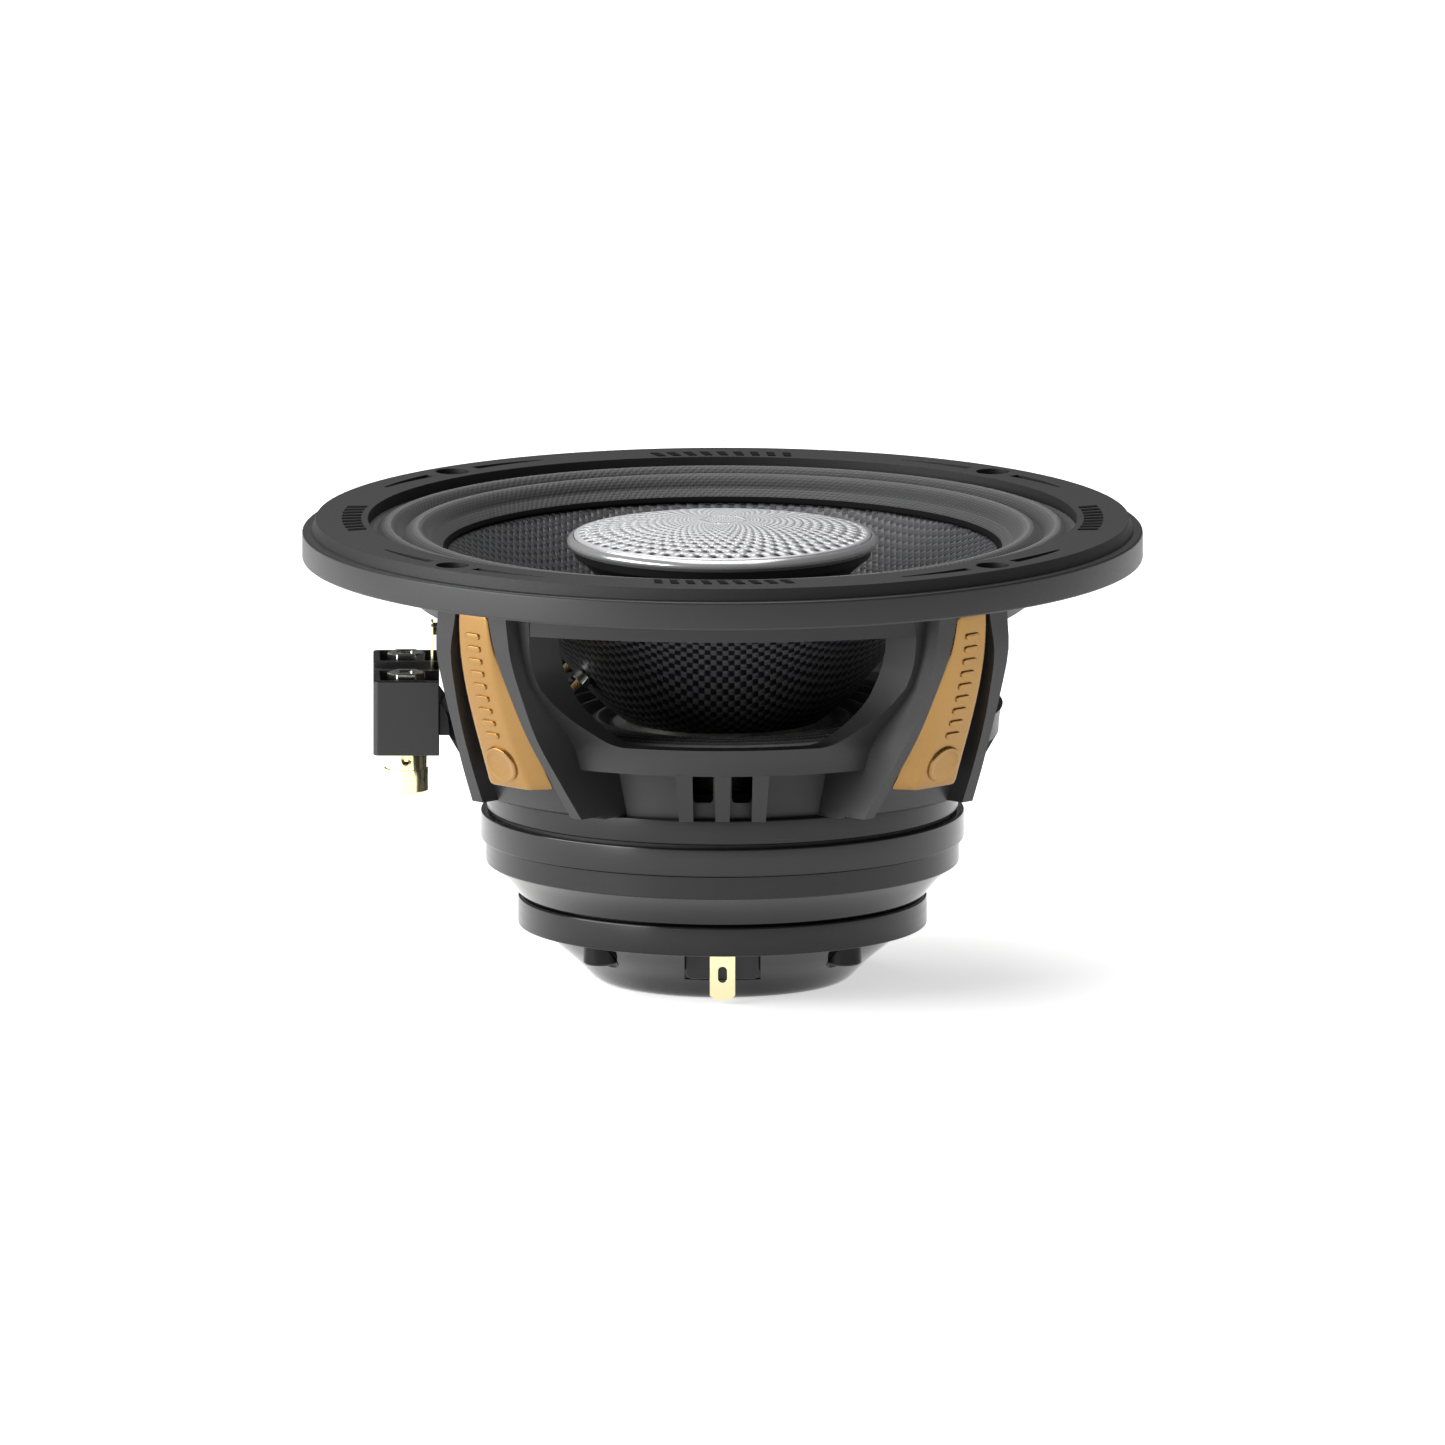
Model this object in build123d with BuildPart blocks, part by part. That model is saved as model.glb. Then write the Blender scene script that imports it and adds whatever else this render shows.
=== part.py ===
"""Coaxial car speaker, 6.5 inch: woven-cone woofer with a rear compression driver that plays through the pole.

Frame: millimetres, +Z towards the listener. The origin is the centre of the bolt circle on the mounting face,
which is the underside of the flange. The terminal block stands at -X.
"""

import os
from math import cos, radians, sin, sqrt

from build123d import *

os.makedirs("parts", exist_ok=True)

# ---------------------------------------------------------------- driving dimensions
# Flange and gasket
FLANGE_R = 83.0
FLANGE_T = 5.6
FLANGE_EDGE = 0.5
FLANGE_BORE_R = 68.6
BOLT_CIRCLE_R = 75.4
BOLT_HOLE_R = 2.6
BOLT_ANGLE = 45.0
GASKET_IN_R = 70.0
GASKET_TOP_R = 80.3
GASKET_BASE_R = 81.2
GASKET_T = 2.35
GASKET_HOLE_R = 3.3
GASKET_SLOT_DEPTH = 0.9

# Basket: four arms, a window between each two, a sill band below each window
ARMS = 4
ARM_HALF_W = 12.0
WINDOW_TOP = -6.1
WINDOW_R = 62.0
COLLAR_SHIFT = 45.0
SILL_R = 54.5
SILL_TOP = -29.0
SILL_LOW = -34.3
FOOT_TOP = -41.4
FOOT_LOW = -44.5
FOOT_R = 47.0
FOOT_BORE_R = 34.5
RECESS_R = 44.6
SHELF_TOP = -30.6
SHELF_T = 2.9
SHELF_BORE_R = 43.5
RIB_PROUD = 2.8
FOOT_SCREW_CIRCLE_R = 38.4
FOOT_SCREW_R = 1.5
FOOT_SCREW_HEAD_R = 2.7
FOOT_SCREW_HEAD_H = 2.0
FOOT_SCREW_DEPTH = 4.0
PEG_R = 1.5
PEG_DEPTH = 3.0
PEG_HEIGHTS = (-12.0, -30.0)

# Moving parts of the woofer
CLOTH_T = 0.6
SURROUND_LAND_R = 72.4
CONE_T = 0.7
CONE_RIM_R = 57.2
COIL_R = 19.0
FORMER_T = 0.3
FORMER_TOP = -28.4
WINDING_T = 0.8
WINDING_LENGTH = 8.0
COIL_GAP = 0.7
STROKE = 3.5
SPIDER_T = 0.5

# Woofer motor, from the front to the back
PLATE_R = 46.5
PLATE_T = 5.0
GROOVE_T = 0.6
BAND_R = 47.7
MAGNET_R = 46.0
MAGNET_BORE_R = 27.0
BAND_T = 5.5
BACK_R = 46.7
BACK_T = 4.8
THROAT_R = 9.5

# Compression driver
ADAPTER_T = 6.7
DRIVER_R = 40.35
DRIVER_T = 5.8
ADAPTER_WALL = 2.0
DRIVER_CAVITY_R = 30.2
DRIVER_COIL_R = 12.6
DRIVER_COIL_T = 0.4
DRIVER_GAP = 0.35
DRIVER_MAGNET_IN_R = 18.0
DOME_H = 4.0
DOME_T = 0.3
DRIVER_STROKE = 0.3
CAP_TOP_R = 37.0
CAP_FOOT_R = 23.3
CAP_H = 11.1
CAP_CAVITY_R = 24.2
CAP_FLOOR = 1.8
SCREW_CIRCLE_R = 34.1
SCREW_HEAD_R = 3.35
SCREW_HEAD_H = 4.2
SCREW_R = 2.0
SCREW_DEPTH = 9.6

# Horn and cover
HORN_WALL = 2.2
COVER_R = 30.73
COVER_LOW = 2.2
COVER_EDGE = 4.65
COVER_DOME_R = 29.4
COVER_RISE = 3.15
COVER_T = 0.8

# Rear terminals
REAR_PLATE_W = 14.8
REAR_PLATE_H = 6.1
REAR_PLATE_R = 31.0
REAR_PLATE_DEPTH = 3.6
TAB_W = 5.0
TAB_FLARE_W = 6.8
TAB_T = 0.8
TAB_LOW = -83.0
TAB_SLOT_W = 1.8
TAB_SLOT_H = 3.2

# Terminal block on the side
BLOCK_OUT_X = -68.95
BLOCK_IN_X = -55.9
BLOCK_HALF_Y = 18.2
BLOCK_TOP = -21.6
BLOCK_LOW = -36.5
POST_X = -62.4
POST_Y = 11.4
NUT_AF = 6.5
NUT_H = 2.6
COLLAR_R = 4.1
COLLAR_BORE_R = 2.5
COLLAR_H = 5.3
SLEEVE_T = 0.25
SLEEVE_TOP = -40.0
PUSH_CAP_LOW = -44.6
PUSH_CAP_FLOOR = 1.0
PUSH_TRAVEL = 1.6
WIRE_HOLE_R = 1.0
SPRING_BORE_TOP = -26.6
PLUNGER_TOP = -32.2
SPRING_WIRE = 0.5

# Fits
RUNNING_FIT = 0.05
CLEARANCE = 0.1
INSERT_GAP = 0.25

# ---------------------------------------------------------------- levels that follow
ARM_ANGLES = [BOLT_ANGLE + 360 / ARMS * i for i in range(ARMS)]
GASKET_TOP = FLANGE_T + GASKET_T
PLATE_LOW = FOOT_LOW - PLATE_T
BAND_TOP = PLATE_LOW - GROOVE_T
BAND_LOW = BAND_TOP - BAND_T
BACK_LOW = BAND_LOW - BACK_T
DRIVER_TOP = BACK_LOW - ADAPTER_T
DRIVER_LOW = DRIVER_TOP - DRIVER_T
CAP_LOW = DRIVER_LOW - CAP_H
WINDING_MID = FOOT_LOW - PLATE_T / 2
WINDING_LOW = WINDING_MID - WINDING_LENGTH / 2
FORMER_R = COIL_R + FORMER_T
WINDING_R = FORMER_R + WINDING_T
POLE_R = COIL_R - COIL_GAP
PLATE_BORE_R = WINDING_R + COIL_GAP
HORN_FOOT = FOOT_LOW + 1.0
HORN_FOOT_R = COIL_R - 1.3

# The rib's outer edge and the insert's face drop away from the flange along the same bowed line.
# Each row: height, rib's outer radius, rib's inner and outer distance from the arm's middle plane.
RIB_KNOTS = [
    (0.4, 70.2, 4.6, 9.5),
    (-3.2, 70.0, 4.6, 9.5),
    (-10.8, 69.5, 6.4, 10.4),
    (-19.5, 66.7, 7.9, 11.1),
    (-27.4, 63.5, 9.2, 11.8),
    (-36.0, 59.0, 10.9, 13.6),
    (-43.8, 54.6, 12.3, 15.2),
]
# Each row: height, outer radius of the window frame beside the ribs.
FRAME_KNOTS = [
    (-1.0, 69.2),
    (-6.0, 68.9),
    (-10.8, 68.0),
    (-15.0, 66.0),
    (-19.5, 63.0),
    (-24.0, 59.2),
    (-27.5, 56.3),
    (-30.0, 54.9),
    (SILL_LOW, SILL_R),
]
# Each row: height, face radius, half width of the face, half width of the base.
INSERT_KNOTS = [
    (-2.6, 69.9, 4.0, 4.2),
    (-9.8, 69.3, 4.2, 5.6),
    (-24.3, 65.4, 4.4, 7.3),
    (-38.6, 59.3, 5.7, 8.4),
]


def turned(*outline, mode=Mode.ADD):
    """A solid turned about Z from a closed outline of (radius, height) points."""
    with BuildSketch(Plane.XZ) as section:
        with BuildLine():
            Polyline(*outline, close=True)
        make_face()
    revolve(section.sketch, axis=Axis.Z, mode=mode)


def ring(r_in, r_out, low, high, mode=Mode.ADD):
    """A plain ring, or a disc where r_in is 0."""
    turned((r_in, low), (r_out, low), (r_out, high), (r_in, high), mode=mode)


def eased(rows, parts):
    """Rows on a smooth curve through the given ones, whose first column is height, in so many steps to each next."""
    made = []
    for i, (here, there) in enumerate(zip(rows, rows[1:])):
        before, after = rows[max(i - 1, 0)], rows[min(i + 2, len(rows) - 1)]
        for t in [part / parts for part in range(parts)]:
            step = there[0] - here[0]
            row = [here[0] + t * step]
            for column in range(1, len(here)):
                leaving = (there[column] - before[column]) / (there[0] - before[0]) * step
                arriving = (after[column] - here[column]) / (after[0] - here[0]) * step
                rise = there[column] - here[column]
                row.append(here[column] + t * leaving + t**2 * (3 * rise - 2 * leaving - arriving)
                           + t**3 * (leaving + arriving - 2 * rise))
            made.append(tuple(row))
    return [*made, rows[-1]]


RIB_STATIONS = eased(RIB_KNOTS, 3)
INSERT_STATIONS = eased(INSERT_KNOTS, 4)
FRAME_PROFILE = [(r, z) for z, r in eased(FRAME_KNOTS, 2)]


def between(z, rows, column):
    """The value of one column at height z, on straight lines through the rows."""
    for high, low in zip(rows, rows[1:]):
        if high[0] >= z >= low[0]:
            share = (high[0] - z) / (high[0] - low[0])
            return high[column] + share * (low[column] - high[column])
    return rows[0][column] if z > rows[0][0] else rows[-1][column]


def arm_level(angle, z):
    """A level plane at height z whose x runs out along the arm at that angle."""
    return Plane(origin=(0, 0, z), x_dir=(cos(radians(angle)), sin(radians(angle)), 0), z_dir=(0, 0, 1))


def arm_radius(z):
    """Radius of the arm's outer surface, which lies RIB_PROUD under the rib's edge."""
    return between(z, RIB_STATIONS, 1) - RIB_PROUD


def rib_side(high, low):
    """The rib's outer side between two heights, as (distance from the arm's middle, height) points going down."""
    levels = [high, *[row[0] for row in RIB_STATIONS if low < row[0] < high], low]
    return [(between(z, RIB_STATIONS, 3), z) for z in levels]


def arm_loft(angle, sections, mode=Mode.ADD):
    """A solid lofted down an arm. sections: (height, [(out along the arm, across it), ...])."""
    faces = []
    for z, corners in sections:
        with BuildSketch(arm_level(angle, z)) as section:
            with BuildLine():
                Polyline(*corners, close=True)
            make_face()
        faces.append(section.sketch)
    loft(faces, ruled=True, mode=mode)


def arm_face(angle):
    """An upright plane through the axis, square to the direction at that angle; y is height."""
    out = (cos(radians(angle)), sin(radians(angle)), 0)
    return Plane(origin=(0, 0, 0), x_dir=(-out[1], out[0], 0), z_dir=out)


def finish(piece, label):
    """Name the piece and write it out."""
    piece.part.label = label
    export_step(piece.part, f"parts/{label}.step")


# ---------------------------------------------------------------- basket
# Window edge: distance from the arm's middle plane at each height; the lower corner sweeps round to the sill.
WINDOW_SIDE = [
    (ARM_HALF_W, WINDOW_TOP),
    (ARM_HALF_W, -12.0),
    (ARM_HALF_W + 0.9, -17.6),
    (ARM_HALF_W + 3.1, -22.8),
    (ARM_HALF_W + 6.6, -26.9),
    (ARM_HALF_W + 10.9, SILL_TOP),
]
REACH = FLANGE_R + 5
CORNER = REACH * sqrt(2)


def across_arm(side):
    """An upright plane through the axis, square to an arm beside the front window; x runs from the arm to the window."""
    out = (side / sqrt(2), -1 / sqrt(2), 0)
    across = (-side / sqrt(2), -1 / sqrt(2), 0)
    return Plane(origin=(0, 0, 0), x_dir=across, z_dir=(-side * out[0], -side * out[1], 0))


def between_arms(*outline):
    """The space in front, between two arms, inside one outline of (distance from each arm, height) points."""
    for side, mode in ((1, Mode.ADD), (-1, Mode.INTERSECT)):
        with BuildSketch(across_arm(side)) as gap:
            with BuildLine():
                Polyline(*outline, close=True)
            make_face()
        extrude(gap.sketch, amount=CORNER, both=True, mode=mode)


with BuildPart() as window:
    for side, mode in ((1, Mode.ADD), (-1, Mode.INTERSECT)):
        with BuildSketch(across_arm(side)) as gap:
            with BuildLine():
                Line((CORNER, WINDOW_TOP), WINDOW_SIDE[0])
                Line(WINDOW_SIDE[0], WINDOW_SIDE[1])
                Spline(*WINDOW_SIDE[1:], tangents=((0, -1), (1, -0.12)))
                Line(WINDOW_SIDE[-1], (CORNER, SILL_TOP))
                Line((CORNER, SILL_TOP), (CORNER, WINDOW_TOP))
            make_face()
        extrude(gap.sketch, amount=CORNER, both=True, mode=mode)

# The collar under the flange runs nearly straight from arm to arm, so it is an arc about a centre behind the axis.
with BuildPart() as collar_shave:
    between_arms((ARM_HALF_W, 0), (ARM_HALF_W, WINDOW_TOP - 0.5), (CORNER, WINDOW_TOP - 0.5), (CORNER, 0))
    with Locations((0, COLLAR_SHIFT, WINDOW_TOP / 2)):
        Cylinder(WINDOW_R + COLLAR_SHIFT, 2 - WINDOW_TOP, mode=Mode.SUBTRACT)

# The frame round the window draws back from the ribs as it comes down to the sill.
with BuildPart() as frame_shave:
    between_arms(*rib_side(FRAME_PROFILE[0][1], SILL_LOW), (CORNER, SILL_LOW), (CORNER, FRAME_PROFILE[0][1]))
    turned(*FRAME_PROFILE, (0, SILL_LOW), (0, FRAME_PROFILE[0][1]), mode=Mode.SUBTRACT)

# Under the sill the space between the arms is open down to the motor, in to the recess wall.
with BuildPart() as recess:
    between_arms(*rib_side(SILL_LOW, FOOT_LOW), (CORNER, FOOT_LOW), (CORNER, SILL_LOW))
    ring(0, RECESS_R, FOOT_LOW - 1, SILL_LOW + 1, mode=Mode.SUBTRACT)

FIN_TOP_R = SILL_R - 0.6
FIN_LOW_R = 48.0
FIN_CENTRES = (-7.6, 0.0, 7.6)
FIN_W_TOP = 3.3
FIN_W_LOW = 2.8
FIN_LEAN = 0.45

with BuildPart() as basket:
    turned(
        (FLANGE_BORE_R, 0.6), (FLANGE_BORE_R, FLANGE_T - CLOTH_T), (SURROUND_LAND_R, FLANGE_T - CLOTH_T),
        (SURROUND_LAND_R, FLANGE_T), (FLANGE_R, FLANGE_T), (FLANGE_R, 0), (70.5, 0), (68.4, -1.0),
        *[(arm_radius(row[0]), row[0]) for row in RIB_STATIONS[1:]],
        (FOOT_R + 3.4, FOOT_LOW), (FOOT_BORE_R, FOOT_LOW), (FOOT_BORE_R, FOOT_TOP),
        (RECESS_R - 3.0, FOOT_TOP), (RECESS_R - 3.0, SHELF_TOP - SHELF_T), (SHELF_BORE_R, SHELF_TOP - SHELF_T),
        (SHELF_BORE_R, SHELF_TOP), (SILL_R - 3.2, SHELF_TOP), (SILL_R - 3.0, SILL_TOP),
        (56.0, -19.5), (58.6, WINDOW_TOP - 4), (WINDOW_R - 3.0, WINDOW_TOP), (WINDOW_R - 2.6, -4.4),
    )
    outer_edges = basket.edges().filter_by(GeomType.CIRCLE).filter_by(lambda e: abs(e.radius - FLANGE_R) < 0.01)
    fillet(outer_edges, FLANGE_EDGE)
    with PolarLocations(0, ARMS):
        add(window.part, mode=Mode.SUBTRACT)
        add(collar_shave.part, mode=Mode.SUBTRACT)
        add(frame_shave.part, mode=Mode.SUBTRACT)
        add(recess.part, mode=Mode.SUBTRACT)
    # Two ribs on each arm, leaning apart towards the motor
    for angle in ARM_ANGLES:
        for side in (1, -1):
            arm_loft(angle, [
                (z, [(arm_radius(z) - 2.2, side * a), (r, side * a), (r, side * b), (arm_radius(z) - 2.2, side * b)])
                for z, r, a, b in RIB_STATIONS
            ])
    # Three fins under each sill, with the recess wall pierced between them
    for quarter in range(ARMS):
        turn = -90 + 90 * quarter
        for centre in FIN_CENTRES:
            lean = -FIN_LEAN * (centre > 0) + FIN_LEAN * (centre < 0)
            arm_loft(turn, [
                (SILL_LOW + 0.2, [(RECESS_R - 1, centre - FIN_W_TOP / 2), (FIN_TOP_R, centre - FIN_W_TOP / 2),
                                  (FIN_TOP_R, centre + FIN_W_TOP / 2), (RECESS_R - 1, centre + FIN_W_TOP / 2)]),
                (FOOT_LOW, [(RECESS_R - 1, centre + lean - FIN_W_LOW / 2), (FIN_LOW_R, centre + lean - FIN_W_LOW / 2),
                            (FIN_LOW_R, centre + lean + FIN_W_LOW / 2), (RECESS_R - 1, centre + lean + FIN_W_LOW / 2)]),
            ])
        for centre in (-3.85, 3.85):
            with BuildSketch(arm_face(turn)) as vent:
                with Locations((centre, (SILL_LOW + FOOT_TOP) / 2)):
                    RectangleRounded(4.0, SILL_LOW - FOOT_TOP - 0.2, 0.9)
            extrude(vent.sketch, amount=RECESS_R + 1.5, mode=Mode.SUBTRACT)
    # Holes: mounting holes in the flange, screw holes in the foot, peg holes for the arm inserts
    with Locations((0, 0, FLANGE_T)):
        with PolarLocations(BOLT_CIRCLE_R, ARMS, start_angle=BOLT_ANGLE):
            Hole(BOLT_HOLE_R, depth=FLANGE_T + 3)
    with Locations((0, 0, FOOT_TOP)):
        with PolarLocations(FOOT_SCREW_CIRCLE_R, ARMS, start_angle=BOLT_ANGLE):
            Hole(FOOT_SCREW_R + CLEARANCE, depth=FOOT_TOP - FOOT_LOW)
    for angle in ARM_ANGLES:
        for height in PEG_HEIGHTS:
            with BuildSketch(arm_face(angle)) as pegs:
                with Locations((0, height)):
                    Circle(PEG_R + CLEARANCE)
            extrude(pegs.sketch, amount=arm_radius(height) + 3, mode=Mode.SUBTRACT)
finish(basket, "basket")

# ---------------------------------------------------------------- gasket, surround, cone, coil, spider
with BuildPart() as gasket:
    turned((GASKET_IN_R, FLANGE_T), (GASKET_BASE_R, FLANGE_T), (GASKET_TOP_R, GASKET_TOP), (GASKET_IN_R, GASKET_TOP))
    with Locations((0, 0, GASKET_TOP)):
        with PolarLocations(BOLT_CIRCLE_R, ARMS, start_angle=BOLT_ANGLE):
            Hole(GASKET_HOLE_R, depth=GASKET_T)
    # A tapered recess runs along the bolt circle on each side of each hole
    with BuildSketch(Plane.XY.offset(GASKET_TOP)) as slots:
        for hole_angle in ARM_ANGLES:
            for side in (1, -1):
                near, far = (hole_angle + side * a for a in (4.6, 17.0))
                with BuildLine():
                    wide = [PolarLocations(r, 1, start_angle=near).locations[0].position
                            for r in (BOLT_CIRCLE_R - 1.2, BOLT_CIRCLE_R + 1.2)]
                    thin = [PolarLocations(r, 1, start_angle=far).locations[0].position
                            for r in (BOLT_CIRCLE_R - 0.3, BOLT_CIRCLE_R + 0.3)]
                    middle = [PolarLocations(r, 1, start_angle=(near + far) / 2).locations[0].position
                              for r in (BOLT_CIRCLE_R - 0.8, BOLT_CIRCLE_R + 0.8)]
                    ThreePointArc(wide[0], middle[0], thin[0])
                    Line(thin[0], thin[1])
                    ThreePointArc(thin[1], middle[1], wide[1])
                    Line(wide[1], wide[0])
                make_face()
    extrude(slots.sketch, amount=-GASKET_SLOT_DEPTH, mode=Mode.SUBTRACT)
finish(gasket, "gasket")

# The surround's outer land is glued in the flange's rebate; two rolls lead to a land glued on the cone's rim.
LAND_TOP = FLANGE_T
ROLL_OUT_R = 68.2
VALLEY_R = 63.2
ROLL_IN_R = 57.5
VALLEY_Z = 3.9
ROLL_END_Z = 3.4
CONE_JOINT_R = 54.8
CONE_JOINT_Z = 1.6
with BuildPart() as surround:
    with BuildSketch(Plane.XZ) as section:
        with BuildLine():
            Line((SURROUND_LAND_R - CLEARANCE, LAND_TOP), (ROLL_OUT_R, LAND_TOP))
            ThreePointArc((ROLL_OUT_R, LAND_TOP), ((ROLL_OUT_R + VALLEY_R) / 2, 6.7), (VALLEY_R, VALLEY_Z + CLOTH_T))
            ThreePointArc((VALLEY_R, VALLEY_Z + CLOTH_T), ((VALLEY_R + ROLL_IN_R) / 2, 6.2),
                          (ROLL_IN_R, ROLL_END_Z + CLOTH_T))
            Line((ROLL_IN_R, ROLL_END_Z + CLOTH_T), (CONE_JOINT_R, CONE_JOINT_Z + CLOTH_T))
            Line((CONE_JOINT_R, CONE_JOINT_Z + CLOTH_T), (CONE_JOINT_R, CONE_JOINT_Z))
            Line((CONE_JOINT_R, CONE_JOINT_Z), (ROLL_IN_R + 0.3, ROLL_END_Z))
            ThreePointArc((ROLL_IN_R + 0.3, ROLL_END_Z), ((VALLEY_R + ROLL_IN_R) / 2, 6.2 - CLOTH_T),
                          (VALLEY_R - 0.1, VALLEY_Z))
            ThreePointArc((VALLEY_R - 0.1, VALLEY_Z), ((ROLL_OUT_R + VALLEY_R) / 2, 6.7 - CLOTH_T),
                          (ROLL_OUT_R - 0.2, LAND_TOP - CLOTH_T))
            Line((ROLL_OUT_R - 0.2, LAND_TOP - CLOTH_T), (SURROUND_LAND_R - CLEARANCE, LAND_TOP - CLOTH_T))
            Line((SURROUND_LAND_R - CLEARANCE, LAND_TOP - CLOTH_T), (SURROUND_LAND_R - CLEARANCE, LAND_TOP))
        make_face()
    revolve(section.sketch, axis=Axis.Z)
finish(surround, "surround")

RIM_SLOPE = (ROLL_END_Z - CONE_JOINT_Z) / (ROLL_IN_R + 0.3 - CONE_JOINT_R)
RIM_Z = CONE_JOINT_Z + RIM_SLOPE * (CONE_RIM_R - CONE_JOINT_R)
NECK_Z = -31.3
with BuildPart() as cone:
    with BuildSketch(Plane.XZ) as section:
        with BuildLine():
            Line((CONE_RIM_R, RIM_Z), (CONE_JOINT_R, CONE_JOINT_Z))
            Spline((CONE_JOINT_R, CONE_JOINT_Z), (34.2, -15.8), (21.9, -29.4), (FORMER_R, NECK_Z))
            Line((FORMER_R, NECK_Z), (FORMER_R, NECK_Z - CONE_T))
            Spline((FORMER_R, NECK_Z - CONE_T), (22.4, -29.9), (34.8, -16.25), (CONE_JOINT_R + 0.3, CONE_JOINT_Z - 0.6))
            Line((CONE_JOINT_R + 0.3, CONE_JOINT_Z - 0.6), (CONE_RIM_R, RIM_Z - CONE_T))
            Line((CONE_RIM_R, RIM_Z - CONE_T), (CONE_RIM_R, RIM_Z))
        make_face()
    revolve(section.sketch, axis=Axis.Z)
finish(cone, "cone")

with BuildPart() as voice_coil_former:
    ring(COIL_R, FORMER_R, WINDING_LOW - 0.5, FORMER_TOP)
finish(voice_coil_former, "voice_coil_former")

with BuildPart() as voice_coil_winding:
    ring(FORMER_R, WINDING_R, WINDING_LOW, WINDING_LOW + WINDING_LENGTH)
finish(voice_coil_winding, "voice_coil_winding")

# The spider's corrugations run from a land on the basket's shelf in to the former
SPIDER_IN_Z = NECK_Z - CONE_T - 1.2
SPIDER_OUT_R = SILL_R - 3.4
SPIDER_WAVES = 5
SPIDER_WAVE_H = 1.1
with BuildPart() as spider:
    with BuildSketch(Plane.XZ) as section:
        first, last = FORMER_R + 2.2, SHELF_BORE_R - 0.8
        points = [(FORMER_R, SPIDER_IN_Z), (first, SPIDER_IN_Z)]
        for i in range(1, 2 * SPIDER_WAVES):
            share = i / (2 * SPIDER_WAVES)
            level = SPIDER_IN_Z + share * (SHELF_TOP - SPIDER_IN_Z)
            points.append((first + share * (last - first), level + SPIDER_WAVE_H * (1 if i % 2 else -1)))
        points += [(last, SHELF_TOP), (SPIDER_OUT_R, SHELF_TOP)]
        top = [(r, z + SPIDER_T) for r, z in reversed(points)]
        with BuildLine():
            Polyline(*points, *top, close=True)
        make_face()
    revolve(section.sketch, axis=Axis.Z)
finish(spider, "spider")

# ---------------------------------------------------------------- woofer motor
with BuildPart() as top_plate:
    ring(PLATE_BORE_R, PLATE_R, PLATE_LOW, FOOT_LOW)
    chamfer(top_plate.edges().filter_by(GeomType.CIRCLE).group_by(SortBy.RADIUS)[-1], 0.3)
    with Locations((0, 0, FOOT_LOW)):
        with PolarLocations(FOOT_SCREW_CIRCLE_R, ARMS, start_angle=BOLT_ANGLE):
            Hole(FOOT_SCREW_R, depth=FOOT_SCREW_DEPTH)
finish(top_plate, "top_plate")

with BuildPart() as magnet_ring:
    ring(MAGNET_BORE_R, MAGNET_R, BAND_LOW, PLATE_LOW)
finish(magnet_ring, "magnet_ring")

with BuildPart() as magnet_band:
    ring(MAGNET_R, BAND_R, BAND_LOW, BAND_TOP)
    chamfer(magnet_band.edges().filter_by(GeomType.CIRCLE).group_by(SortBy.RADIUS)[-1], 0.25)
finish(magnet_band, "magnet_band")

with BuildPart() as back_plate:
    turned((THROAT_R, BACK_LOW), (BACK_R, BACK_LOW), (BACK_R, BAND_LOW), (POLE_R, BAND_LOW),
           (POLE_R, HORN_FOOT), (THROAT_R, HORN_FOOT))
finish(back_plate, "back_plate")

# ---------------------------------------------------------------- horn, trim ring and perforated cover
with BuildPart() as horn:
    with BuildSketch(Plane.XZ) as section:
        with BuildLine():
            Spline((THROAT_R, HORN_FOOT), (11.4, -32.0), (15.2, -17.0), (20.2, -6.0), (28.2, COVER_LOW),
                   tangents=((0, 1), (1, 0.55)))
            Line((28.2, COVER_LOW), (29.6, COVER_LOW))
            Line((29.6, COVER_LOW), (29.2, COVER_LOW - 1.6))
            Spline((29.2, COVER_LOW - 1.6), (22.4, -7.0), (17.4, -17.6), (13.8, -32.0), (13.2, HORN_FOOT + 3.0),
                   tangents=((-1, -0.62), (0, -1)))
            Polyline((13.2, HORN_FOOT + 3.0), (HORN_FOOT_R, HORN_FOOT + 2.2), (HORN_FOOT_R, HORN_FOOT),
                     (THROAT_R, HORN_FOOT))
        make_face()
    revolve(section.sketch, axis=Axis.Z)
finish(horn, "horn")

RING_STEP_Z = COVER_EDGE - 0.75
with BuildPart() as cover_ring:
    turned((28.2, COVER_LOW), (COVER_R - 0.7, COVER_LOW), (COVER_R, COVER_LOW + 0.9), (COVER_R, RING_STEP_Z),
           (COVER_R - 0.5, COVER_EDGE - 0.2), (COVER_DOME_R + 0.15, COVER_EDGE), (COVER_DOME_R + 0.15, RING_STEP_Z - 0.1),
           (28.2, RING_STEP_Z - 0.1))
finish(cover_ring, "cover_ring")

CAP_SPHERE_R = (COVER_DOME_R**2 + COVER_RISE**2) / (2 * COVER_RISE)
COVER_APEX = COVER_EDGE + COVER_RISE
with BuildPart() as perforated_cover:
    with Locations((0, 0, COVER_APEX - CAP_SPHERE_R)):
        Sphere(CAP_SPHERE_R)
        Sphere(CAP_SPHERE_R - COVER_T, mode=Mode.SUBTRACT)
    with Locations((0, 0, RING_STEP_Z - 0.1)):
        Cylinder(COVER_DOME_R, COVER_RISE + 2, align=(Align.CENTER, Align.CENTER, Align.MIN), mode=Mode.INTERSECT)
finish(perforated_cover, "perforated_cover")

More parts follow.
